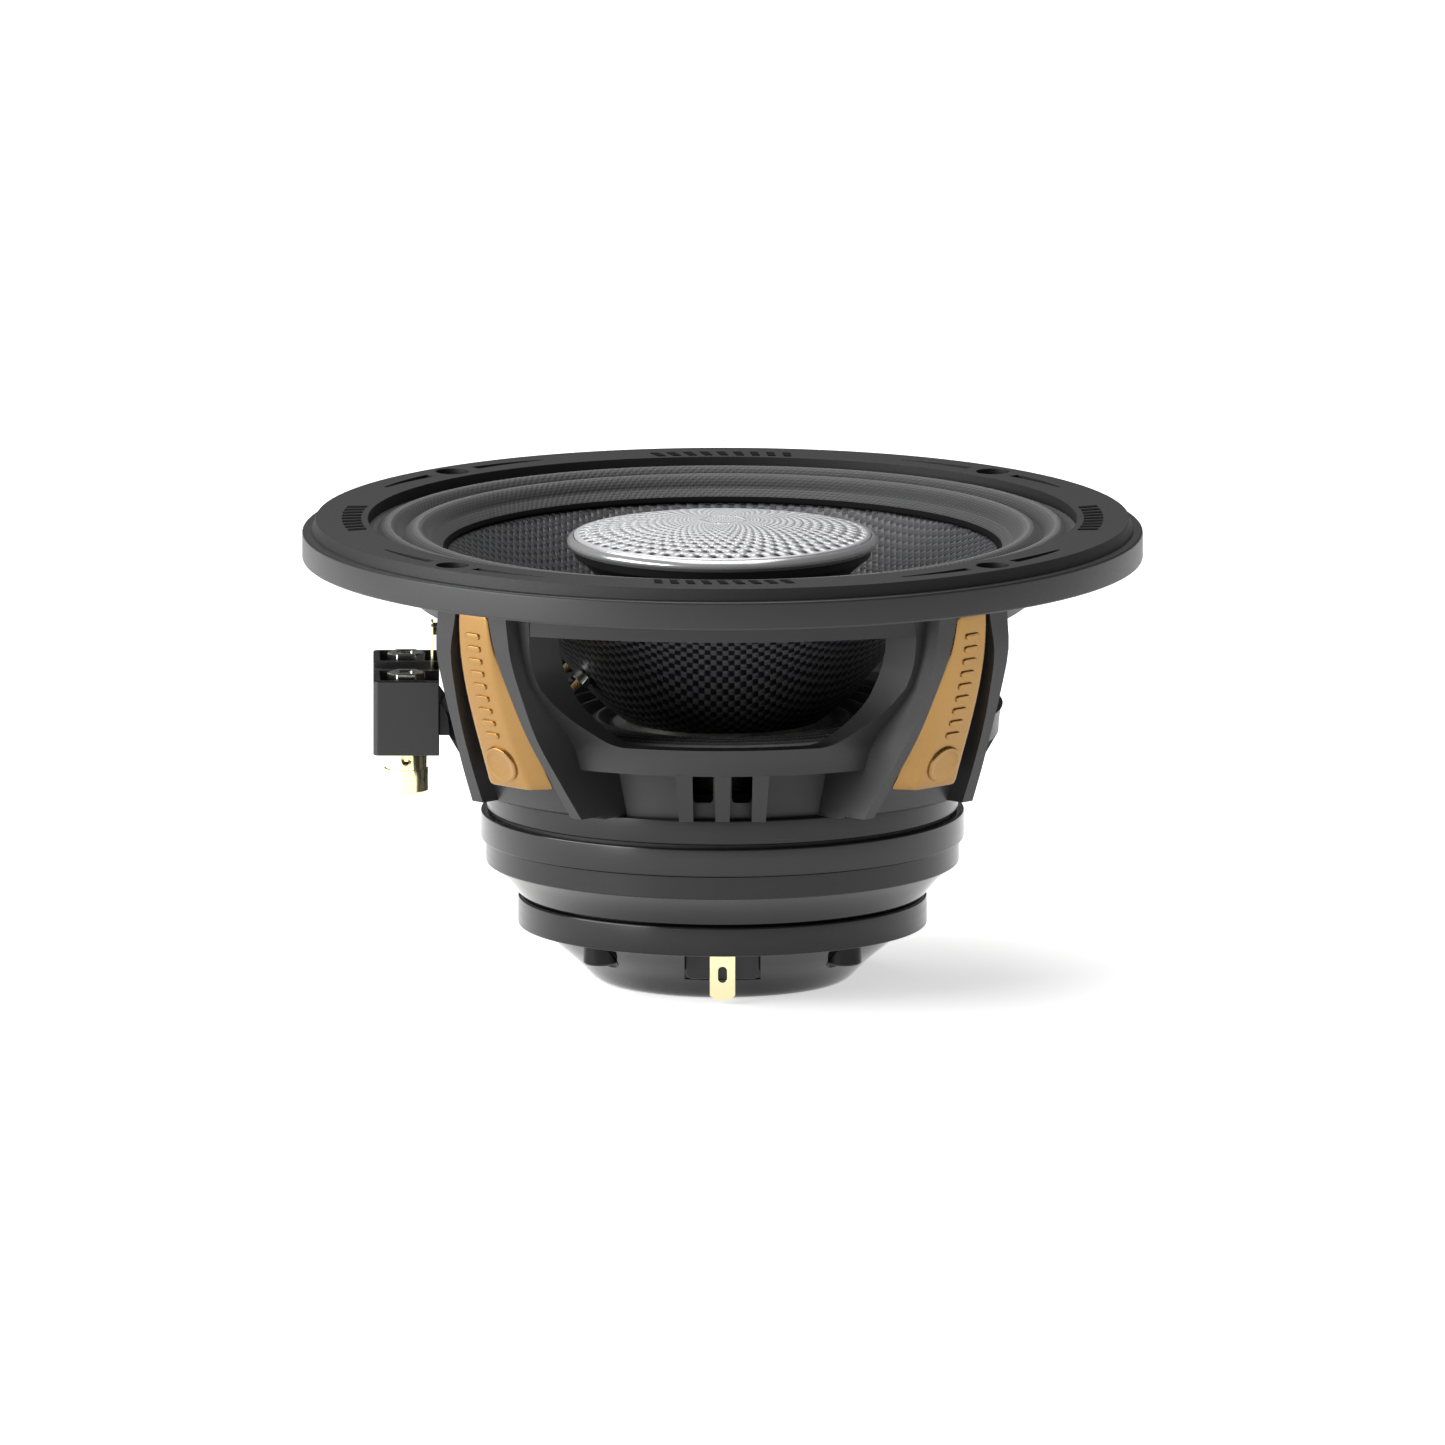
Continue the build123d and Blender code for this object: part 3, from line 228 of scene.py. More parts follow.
def coated(name, base, grain_mm, roughness, depth_mm=0.02, metallic=0.0, contrast=0.12, **shader):
    """A sprayed, moulded or plated coat: fine grain in its colour, gloss and relief."""
    material, tree, surface = new_material(name, Metallic=metallic, Roughness=roughness, **shader)
    noise = grain(tree, grain_mm)
    broad = grain(tree, grain_mm * 24, detail=3.0)
    mix = add(tree, "ShaderNodeMix", {0: broad}, data_type="RGBA")
    mix.inputs[6].default_value = shade(base, 1 - contrast)
    mix.inputs[7].default_value = shade(base, 1 + contrast)
    tree.links.new(mix.outputs[2], surface.inputs["Base Color"])
    gloss = spread(tree, noise, roughness * 0.85, min(1.0, roughness * 1.15))
    tree.links.new(gloss, surface.inputs["Roughness"])
    bump(tree, surface, noise, depth_mm)
    return material


def weave_checks(name, pitch_mm, dark, light):
    """Twill-like fibre cloth pressed into the cone: square checks in plan, each combed by its own fibres.
    The checks follow X and Y, so they draw out where the cone grows steep, as pressed cloth does."""
    material, tree, surface = new_material(name, Roughness=0.34, Coat_Weight=0.25, Coat_Roughness=0.2)
    place = add(tree, "ShaderNodeTexCoord")
    split = add(tree, "ShaderNodeSeparateXYZ", {0: place.outputs["Object"]})
    cells, waves = [], []
    for axis in (0, 1):
        turns = add(tree, "ShaderNodeMath", {0: split.outputs[axis], 1: 1 / (pitch_mm * MM)},
                    operation="MULTIPLY")
        cells.append(add(tree, "ShaderNodeMath", {0: turns.outputs[0]}, operation="FLOOR").outputs[0])
        rib = add(tree, "ShaderNodeMath", {0: turns.outputs[0], 1: 2 * pi * 5}, operation="MULTIPLY")
        waves.append(add(tree, "ShaderNodeMath", {0: rib.outputs[0]}, operation="SINE").outputs[0])
        dome = add(tree, "ShaderNodeMath", {0: turns.outputs[0], 1: pi}, operation="MULTIPLY")
        crest = add(tree, "ShaderNodeMath", {0: dome.outputs[0]}, operation="SINE")
        waves.append(add(tree, "ShaderNodeMath", {0: crest.outputs[0]}, operation="ABSOLUTE").outputs[0])
    total = add(tree, "ShaderNodeMath", {0: cells[0], 1: cells[1]}, operation="ADD")
    parity = add(tree, "ShaderNodeMath", {0: total.outputs[0], 1: 2.0}, operation="FLOORED_MODULO").outputs[0]
    fibres = add(tree, "ShaderNodeMix", {0: parity, 2: waves[0], 3: waves[2]}, data_type="FLOAT").outputs[0]
    crown = add(tree, "ShaderNodeMath", {0: waves[1], 1: waves[3]}, operation="MULTIPLY").outputs[0]
    # Painted sheen: the checks of one parity and the fibre ribs are made lighter in the colour, for light the
    # fibres catch
    streak = add(tree, "ShaderNodeMath", {0: fibres, 1: 0.10, 2: 0.0}, operation="MULTIPLY_ADD").outputs[0]
    tone = add(tree, "ShaderNodeMath", {0: parity, 1: 0.86, 2: streak}, operation="MULTIPLY_ADD",
               use_clamp=True)
    mix = add(tree, "ShaderNodeMix", {0: tone.outputs[0]}, data_type="RGBA")
    mix.inputs[6].default_value = dark
    mix.inputs[7].default_value = light
    tree.links.new(mix.outputs[2], surface.inputs["Base Color"])
    tree.links.new(spread(tree, parity, 0.42, 0.28), surface.inputs["Roughness"])
    relief = add(tree, "ShaderNodeMath", {0: fibres, 1: 0.12, 2: crown}, operation="MULTIPLY_ADD").outputs[0]
    bump(tree, surface, relief, 0.18, 0.7)
    return material


def diagonal_cloth(name, pitch_mm, base, roughness=0.55, contrast=0.5, turn=45.0):
    """Woven cloth laid on the bias: two sets of threads on the piece's UV map, which is in millimetres."""
    material, tree, surface = new_material(name, Roughness=roughness, Sheen_Weight=0.25, Sheen_Roughness=0.5)
    place = add(tree, "ShaderNodeTexCoord")
    turned = add(tree, "ShaderNodeMapping", {"Vector": place.outputs["UV"], "Rotation": (0, 0, radians(turn))})
    split = add(tree, "ShaderNodeSeparateXYZ", {0: turned.outputs[0]})
    waves = []
    for axis in (0, 1):
        turns = add(tree, "ShaderNodeMath", {0: split.outputs[axis], 1: 2 * pi / pitch_mm},
                    operation="MULTIPLY")
        waves.append(add(tree, "ShaderNodeMath", {0: turns.outputs[0]}, operation="SINE").outputs[0])
    across = add(tree, "ShaderNodeMath", {0: waves[0], 1: waves[1]}, operation="MULTIPLY").outputs[0]
    lined = add(tree, "ShaderNodeMath", {0: waves[0], 1: 0.8, 2: across}, operation="MULTIPLY_ADD").outputs[0]
    tone = add(tree, "ShaderNodeMapRange", {"Value": lined, "From Min": -1.4, "From Max": 1.4}).outputs[0]
    mix = add(tree, "ShaderNodeMix", {0: tone}, data_type="RGBA")
    mix.inputs[6].default_value = shade(base, 1 - contrast)
    mix.inputs[7].default_value = shade(base, 1 + contrast)
    tree.links.new(mix.outputs[2], surface.inputs["Base Color"])
    bump(tree, surface, tone, 0.10, 0.6)
    return material


def turned_metal(name, base, roughness, metallic=0.0, cut_mm=0.35, depth_mm=0.01, sheen_streaks=0.35, **shader):
    """Lathe-turned metal under a thin coat: fine cuts round the axis, and painted highlights: the colour made
    lighter and darker in long bands that run up the ring.
    """
    material, tree, surface = new_material(name, Metallic=metallic, Roughness=roughness, **shader)
    cuts = grain(tree, cut_mm * 60, detail=4.0, stretch=(1, 1, 60))
    # Painted highlight: the colour is made lighter and darker in long bands up the ring, for the reflections that
    # turned metal shows
    sheen_mask = grain(tree, 14.0, detail=3.0, stretch=(1, 1, 0.2))
    mix = add(tree, "ShaderNodeMix", {0: sheen_mask}, data_type="RGBA")
    mix.inputs[6].default_value = shade(base, 1 - sheen_streaks)
    mix.inputs[7].default_value = shade(base, 1 + sheen_streaks)
    tree.links.new(mix.outputs[2], surface.inputs["Base Color"])
    tree.links.new(spread(tree, cuts, roughness * 0.7, roughness * 1.3), surface.inputs["Roughness"])
    bump(tree, surface, cuts, depth_mm, 0.4)
    return material


MATERIALS = {}


def make_materials():
    """Every finish of the object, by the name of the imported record's slot."""
    made = MATERIALS
    # Powder coat on cast aluminium: a satin skin with a fine orange peel
    made["cast_black"] = coated("satin powder coat on cast aluminium", colour("casting"), 0.5, 0.42, 0.012,
                                contrast=0.05, Specular_IOR_Level=0.45)
    # Moulded rubber: matt, faintly mottled
    made["gasket_rubber"] = coated("matt moulded rubber", colour("rubber"), 0.35, 0.62, 0.02, contrast=0.10)
    # Painted shade: the dashes' rubber is painted far darker than the gasket so that the raised dashes read as sunk
    # in; the glue bead uses this black as the glue's own colour
    made["mark_shade_and_glue"] = coated("smooth moulded rubber", shade(colour("rubber"), 0.3), 0.3, 0.7, 0.005,
                                 Specular_IOR_Level=0.1)
    # Cloth dipped in resin: diagonal threads on the rolls. Drawn a little coarser than the real thread to show
    made["surround_cloth"] = diagonal_cloth("impregnated surround cloth", size_mm("cloth_pitch") * 1.6,
                                            colour("cloth"))
    # Pressed fibre cloth under a thin resin coat: checks painted lighter and darker as their fibres turn, a painted
    # sheen for light caught or turned away
    made["cone_weave"] = weave_checks("resin-coated woven fibre", size_mm("check_pitch"), colour("fibre_painted_shade"),
                                      colour("fibre_painted_sheen"))
    # Cloth dipped in phenolic: dry and matt, its threads straight
    made["spider_cloth"] = diagonal_cloth("phenolic-dipped spider cloth", 0.9, colour("spider"), 0.8, 0.55, 0.0)
    # Turned steel under black plating: a soft shine painted into its colour as lighter and darker bands that run up
    # the ring, with fine cuts round it
    made["black_steel"] = turned_metal("black-plated turned steel", colour("steel"), 0.24, 0.0, sheen_streaks=0.25,
                                      Specular_IOR_Level=0.35)
    made["band_gloss"] = turned_metal("gloss black moulded band", shade(colour("steel"), 0.85), 0.2, 0.1,
                                      sheen_streaks=0.1)
    # Gloss enamel: a smooth wet-looking skin
    made["gloss_metal"] = coated("gloss black enamel", colour("gloss"), 2.5, 0.08, 0.001, contrast=0.04,
                                 Coat_Weight=0.3, Coat_Roughness=0.03, Specular_IOR_Level=0.3)
    made["horn_plastic"] = coated("matt black moulded plastic", shade(colour("plastic"), 0.35), 0.4, 0.5)
    # Polished plating: close to a mirror, with a sharp bright edge
    made["polished_silver"] = coated("polished plated ring", colour("polish"), 3.0, 0.2, 0.002, metallic=0.7,
                                     contrast=0.02)
    # Bead-blasted aluminium: even, bright and without direction
    made["silver_cover"] = coated("satin blasted aluminium", colour("silver"), 0.3, 0.42, 0.006, metallic=0.45,
                                  contrast=0.03)
    # Blasted and anodised aluminium: warm satin metal without direction
    made["gold_insert"] = coated("satin gold anodised aluminium", colour("gold"), 0.35, 0.26, 0.01,
                                 metallic=0.8, contrast=0.05)
    # Gold flash over nickel: pale, smooth and mirror-like
    made["gold_plate"] = coated("bright gold plate", colour("plate"), 1.5, 0.16, 0.003, metallic=1.0,
                                contrast=0.03)
    # Injection-moulded ABS: an even half-gloss
    made["terminal_plastic"] = coated("moulded black plastic", colour("plastic"), 0.4, 0.38, 0.01,
                                      contrast=0.06)
    made["screw_black"] = coated("black oxide steel", shade(colour("steel"), 0.8), 0.5, 0.35, 0.01,
                                 metallic=0.6)
    made["nickel"] = coated("nickel plate", colour("nickel"), 1.0, 0.22, 0.004, metallic=1.0, contrast=0.05)
    made["spring_steel"] = coated("drawn spring wire", colour("nickel"), 0.6, 0.3, 0.004, metallic=1.0)
    made["former_aluminium"] = coated("rolled aluminium", colour("nickel"), 0.8, 0.35, 0.004, metallic=1.0)
    made["diaphragm_film"] = coated("formed aluminium foil", colour("nickel"), 0.8, 0.3, 0.004, metallic=1.0)
    made["copper_wire"] = turned_metal("enamelled copper winding", colour("copper"), 0.3, 0.9, cut_mm=0.2,
                                       depth_mm=0.05)
    made["magnet"] = coated("ground ferrite", shade(colour("steel"), 0.5), 0.3, 0.6, 0.02)
    made["braid"] = diagonal_cloth("braided tinsel", 0.55, colour("braid"), 0.35, 0.6)


def finish_with(piece, slot, material=None):
    """Give a piece the finish of one slot."""
    piece.data.materials.clear()
    piece.data.materials.append(MATERIALS[material or slot])


# ---------------------------------------------------------------- surfaces


def grid_faces(rows, columns, wrap_rows=False, wrap_columns=True):
    """Quads of a grid of rows by columns of points, as one array of four point numbers each."""
    last_row = rows if wrap_rows else rows - 1
    last_column = columns if wrap_columns else columns - 1
    i, j = np.meshgrid(np.arange(last_row), np.arange(last_column), indexing="ij")
    a, b = i * columns + j, i * columns + (j + 1) % columns
    c, d = ((i + 1) % rows) * columns + (j + 1) % columns, ((i + 1) % rows) * columns + j
    return np.stack([a, b, c, d], -1).reshape(-1, 4)


def make_piece(name, points_mm, faces, uv=None, sharp=34.0):
    """A mesh object from points in millimetres and faces as an array or a list of lists of point numbers;
    uv gives each face corner's place on the map."""
    mesh = bpy.data.meshes.new(name)
    if not isinstance(faces, list):
        faces = faces.tolist()
    mesh.from_pydata((np.asarray(points_mm) * MM).tolist(), [], faces)
    if uv is not None:
        layer = mesh.uv_layers.new(name="UVMap")
        layer.data.foreach_set("uv", np.asarray(uv, np.float32).ravel())
    mesh.polygons.foreach_set("use_smooth", np.ones(len(mesh.polygons), bool))
    mesh.set_sharp_from_angle(angle=radians(sharp))
    piece = bpy.data.objects.new(name, mesh)
    bpy.context.scene.collection.objects.link(piece)
    return piece


def rounded(outline, radius, steps=4):
    """A closed outline with its corners rounded: at each, a quadratic curve between the two cut points."""
    points = np.asarray(outline, float)
    before, after = np.roll(points, 1, 0), np.roll(points, -1, 0)
    made = []
    radii = np.broadcast_to(radius, len(points))
    for point, left, right, r in zip(points, before, after, radii):
        cut_left = min(r, 0.45 * np.linalg.norm(left - point))
        cut_right = min(r, 0.45 * np.linalg.norm(right - point))
        start = point + (left - point) / np.linalg.norm(left - point) * cut_left
        end = point + (right - point) / np.linalg.norm(right - point) * cut_right
        t = np.linspace(0, 1, steps + 1)[:, None]
        made.append((1 - t) ** 2 * start + 2 * t * (1 - t) * point + t**2 * end)
    return np.concatenate(made)


def lathe(name, outline, segments=SEGMENTS, sharp=34.0):
    """A closed solid of revolution: the closed outline of (radius, height) carried round Z.
    Point (i, j) is (r_i cos a_j, r_i sin a_j, z_i); the map holds the way round and along the outline in mm."""
    outline = np.asarray(outline, float)
    area = np.sum(outline[:, 0] * np.roll(outline[:, 1], -1) - np.roll(outline[:, 0], -1) * outline[:, 1])
    if area < 0:
        outline = outline[::-1]
    rows = len(outline)
    angle = np.linspace(0, 2 * pi, segments, endpoint=False)
    r, z = outline[:, :1], outline[:, 1:]
    points = np.stack([r * np.cos(angle), r * np.sin(angle), z + 0 * angle], -1).reshape(-1, 3)
    faces = grid_faces(rows, segments, wrap_rows=True)[:, ::-1]
    step = np.linalg.norm(outline - np.roll(outline, 1, 0), axis=1)
    step[0] = 0
    along = np.cumsum(step)
    last = along[-1] + np.linalg.norm(outline[0] - outline[-1])
    mean_r = outline[:, 0].mean()
    i, j = np.meshgrid(np.arange(rows), np.arange(segments), indexing="ij")
    here = along[i]
    there = np.append(along, last)[i + 1]
    left, right = angle[j] * mean_r, (angle[j] + 2 * pi / segments) * mean_r
    corners = np.stack([np.stack([left, here], -1), np.stack([right, here], -1),
                        np.stack([right, there], -1), np.stack([left, there], -1)], 2)
    return make_piece(name, points, faces, corners.reshape(-1, 4, 2)[:, ::-1], sharp)


def wall(line, thickness):
    """The closed outline of a thin wall that lies under a line of (radius, height) points."""
    line = np.asarray(line, float)
    run = np.gradient(line, axis=0)
    normal = np.stack([run[:, 1], -run[:, 0]], 1) / np.linalg.norm(run, axis=1)[:, None]
    if normal[:, 1].mean() > 0:
        normal = -normal
    return np.concatenate([line, (line + normal * thickness)[::-1]])


def curve(points, count):
    """A smooth line through a few points: one cubic for each coordinate, natural at its ends."""
    points = np.asarray(points, float)
    chord = np.concatenate([[0], np.cumsum(np.linalg.norm(np.diff(points, axis=0), axis=1))])
    n = len(points)
    h = np.diff(chord)
    matrix, right = np.eye(n), np.zeros_like(points)
    for i in range(1, n - 1):
        matrix[i, i - 1:i + 2] = h[i - 1], 2 * (h[i - 1] + h[i]), h[i]
        right[i] = 6 * ((points[i + 1] - points[i]) / h[i] - (points[i] - points[i - 1]) / h[i - 1])
    bend = np.linalg.solve(matrix, right)
    t = np.linspace(0, chord[-1], count)
    k = np.clip(np.searchsorted(chord, t, "right") - 1, 0, n - 2)
    a, b = (chord[k + 1] - t)[:, None], (t - chord[k])[:, None]
    hk = h[k][:, None]
    return (bend[k] * a**3 + bend[k + 1] * b**3) / (6 * hk) + (points[k] / hk - bend[k] * hk / 6) * a + (
        points[k + 1] / hk - bend[k + 1] * hk / 6) * b


def tube(name, path_mm, radius_mm, sides=16):
    """A round rod along a path: each ring is square to the path; the map holds the way round and along."""
    path = np.asarray(path_mm, float)
    ahead = np.gradient(path, axis=0)
    ahead /= np.linalg.norm(ahead, axis=1)[:, None]
    side = np.cross(ahead, (0.0, 0.0, 1.0))
    side /= np.linalg.norm(side, axis=1)[:, None]
    up = np.cross(side, ahead)
    angle = np.linspace(0, 2 * pi, sides, endpoint=False)
    ring = side[:, None] * np.cos(angle)[None, :, None] + up[:, None] * np.sin(angle)[None, :, None]
    points = (path[:, None] + ring * radius_mm).reshape(-1, 3)
    rows = len(path)
    along = np.concatenate([[0], np.cumsum(np.linalg.norm(np.diff(path, axis=0), axis=1))])
    i, j = np.meshgrid(np.arange(rows - 1), np.arange(sides), indexing="ij")
    round_mm = 2 * pi * radius_mm / sides
    uv = np.stack([np.stack([j * round_mm, along[i]], -1), np.stack([(j + 1) * round_mm, along[i]], -1),
                   np.stack([(j + 1) * round_mm, along[i + 1]], -1), np.stack([j * round_mm, along[i + 1]], -1)], 2)
    caps = [list(range(sides))[::-1], list(range((rows - 1) * sides, rows * sides))]
    uv = np.concatenate([uv.reshape(-1, 2), np.zeros((2 * sides, 2))])
    return outward(make_piece(name, points, grid_faces(rows, sides).tolist() + caps, uv, sharp=60))


def outward(piece):
    """Turn every face of a closed piece outwards."""
    edit = bmesh.new()
    edit.from_mesh(piece.data)
    bmesh.ops.recalc_face_normals(edit, faces=edit.faces)
    edit.to_mesh(piece.data)
    edit.free()
    return piece


def finished_copy(node, slot, body, name=None, bevel_mm=0.0, sharp=30.0, material=None):
    """A CAD node's own shape as a clean mesh: merged, smooth between its edges, its edges softly rounded."""
    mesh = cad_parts[node].data.copy()
    edit = bmesh.new()
    edit.from_mesh(mesh)
    bmesh.ops.remove_doubles(edit, verts=edit.verts, dist=2e-6)
    bmesh.ops.dissolve_limit(edit, angle_limit=radians(0.6), verts=edit.verts, edges=edit.edges)
    edit.to_mesh(mesh)
    edit.free()
    if "custom_normal" in mesh.attributes:
        mesh.attributes.remove(mesh.attributes["custom_normal"])
    mesh.polygons.foreach_set("use_smooth", np.ones(len(mesh.polygons), bool))
    mesh.set_sharp_from_angle(angle=radians(sharp))
    piece = bpy.data.objects.new(name or f"{node}_finished", mesh)
    bpy.context.scene.collection.objects.link(piece)
    if bevel_mm:
        made = piece.modifiers.new("edge rounding", "BEVEL")
        made.width = bevel_mm * MM
        made.segments = 2
        made.limit_method = "ANGLE"
        made.angle_limit = radians(sharp + 8)
    finish_with(piece, slot, material)
    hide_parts(node)
    if body:
        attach(piece, body)
    return piece


def settle(piece, slot, node=None, body=CHASSIS, material=None):
    """Finish a new piece, let it stand for its CAD node and ride on its body."""
    finish_with(piece, slot, material)
    if node:
        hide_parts(node)
    if body:
        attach(piece, body)
    return piece


def flex_by_radius(piece):
    """Bake a round, flexing piece's placement into its mesh and read its points; it does not tie the piece to the
    chassis or the moving body.
    """
    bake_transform(piece)
    points = np.zeros(len(piece.data.vertices) * 3, np.float32)
    piece.data.vertices.foreach_get("co", points)


# ---------------------------------------------------------------- operators


class SPEAKER_OT_basket(Operator):
    """The cast basket, with its edges rounded as a die leaves them"""
    bl_idname = "speaker.basket"
    bl_label = "Basket"

    def execute(self, context):
        finished_copy("basket", "cast_black", CHASSIS, bevel_mm=size_mm("edge_round"))
        finished_copy("basket_screws", "screw_black", CHASSIS)
        return {"FINISHED"}


DASH_STEP = 2.5  # degrees from one dash to the next
DASH_HALF = 1.9


class SPEAKER_OT_gasket(Operator):
    """The rubber gasket and a generic row of slanted dashes at each quarter"""
    bl_idname = "speaker.gasket"
    bl_label = "Gasket"

    def execute(self, context):
        finished_copy("gasket", "gasket_rubber", CHASSIS, bevel_mm=0.25)
        # Each dash is a slanted block: corners at two radii, the outer pair led by a fixed angle
        top = level("gasket")[1]
        middle = (reach("surround") - 0.6 + reach("gasket") - 3.0) / 2 - 1.7
        centre = np.radians(np.add.outer(90 * np.arange(4), DASH_STEP * np.arange(-4, 5))).ravel()
        angle = centre[:, None, None] + np.radians((-0.95, -0.25, 0.95, 0.25))
        radius = middle + DASH_HALF * np.array((-1, 1, 1, -1))
        height = top + np.array((-0.2, 0.14))[:, None]
        points = np.stack(np.broadcast_arrays(radius * np.cos(angle), radius * np.sin(angle), height), -1)
        block = np.array(((3, 2, 1, 0), (4, 5, 6, 7), (0, 1, 5, 4), (1, 2, 6, 5), (2, 3, 7, 6), (3, 0, 4, 7)))
        faces = 8 * np.arange(len(centre))[:, None, None] + block
        dashes = outward(make_piece("gasket_dashes", points.reshape(-1, 3), faces.reshape(-1, 4)))
        # The dashes' dark colour is painted shade, so that they read as recessed
        settle(dashes, "gasket_rubber", material="mark_shade_and_glue")
        return {"FINISHED"}


class SPEAKER_OT_surround(Operator):
    """The cloth surround: a land, two rolls and the land glued on the cone"""
    bl_idname = "speaker.surround"
    bl_label = "Surround"

    def execute(self, context):
        land_z = level("gasket")[0]
        out_r = reach("surround")
        line = [(out_r, land_z), (68.6, land_z)]
        # Each roll is half a sine wave between its feet, on the line that joins them
        for (r0, z0), (r1, z1), height in (((68.2, land_z), (63.2, 4.5), 1.75),
                                           ((63.2, 4.5), (57.5, 4.0), 2.0)):
            t = np.linspace(0, 1, 25)[:-1]
            line += list(zip(r0 + (r1 - r0) * t, z0 + (z1 - z0) * t + height * np.sin(pi * t) ** 0.8))
        line += [(57.5, 4.0), (57.0, 3.75), (55.6, 2.75), (54.8, 2.2)]
        piece = lathe("surround_cloth", wall(line, 0.55), sharp=50)
        finish_with(piece, "surround_cloth")
        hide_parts("surround")
        flex_by_radius(piece)
        return {"FINISHED"}


class SPEAKER_OT_cone(Operator):
    """The woven cone with its pressed rim, on the cone's body"""
    bl_idname = "speaker.cone"
    bl_label = "Cone"

    def execute(self, context):
        flare = curve([(54.8, 1.6), (34.2, -15.8), (21.9, -29.4), (19.35, -31.3)], 60)
        line = np.concatenate([[(57.1, 3.0)], flare])
        settle(lathe("woven_cone", wall(line, 0.6), sharp=60), "cone_weave", "cone", CONE_BODY)
        # A bead of black glue closes the joint between the cloth and the cone
        bead = rounded([(55.3, 2.3), (54.9, 2.75), (54.1, 1.7), (54.5, 1.25)], 0.3)
        settle(lathe("cone_glue_bead", bead), "surround_cloth", body=CONE_BODY, material="mark_shade_and_glue")
        finished_copy("voice_coil_former", "former_aluminium", CONE_BODY)
        finished_copy("voice_coil_winding", "copper_wire", CONE_BODY)
        finished_copy("lead_eyelets", "nickel", CONE_BODY, bevel_mm=0.15)
        return {"FINISHED"}


SPIDER_INNER = 19.35
ROLLS_OUTER, ROLLS_INNER = 42.7, 21.6
ROLLS, ROLL_HEIGHT = 5, 0.95


class SPEAKER_OT_spider(Operator):
    """The corrugated spider: a sine wave of five turns from its land to the former"""
    bl_idname = "speaker.spider"
    bl_label = "Spider"

    def execute(self, context):
        out_r = reach("spider")
        share = np.linspace(0, 1, 181)
        radius = out_r + (SPIDER_INNER - out_r) * share
        rolls = np.clip((ROLLS_OUTER - radius) / (ROLLS_OUTER - ROLLS_INNER), 0, 1)
        base = -30.1 - 2.6 * rolls
        swell = np.sin(pi * rolls) ** 0.35 * ((rolls > 0) & (rolls < 1))
        height = base + ROLL_HEIGHT * np.sin(2 * pi * ROLLS * rolls) * swell
        piece = lathe("spider_cloth", wall(np.stack([radius, height], 1), 0.45), sharp=60)
        finish_with(piece, "spider_cloth")
        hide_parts("spider")
        flex_by_radius(piece)
        return {"FINISHED"}


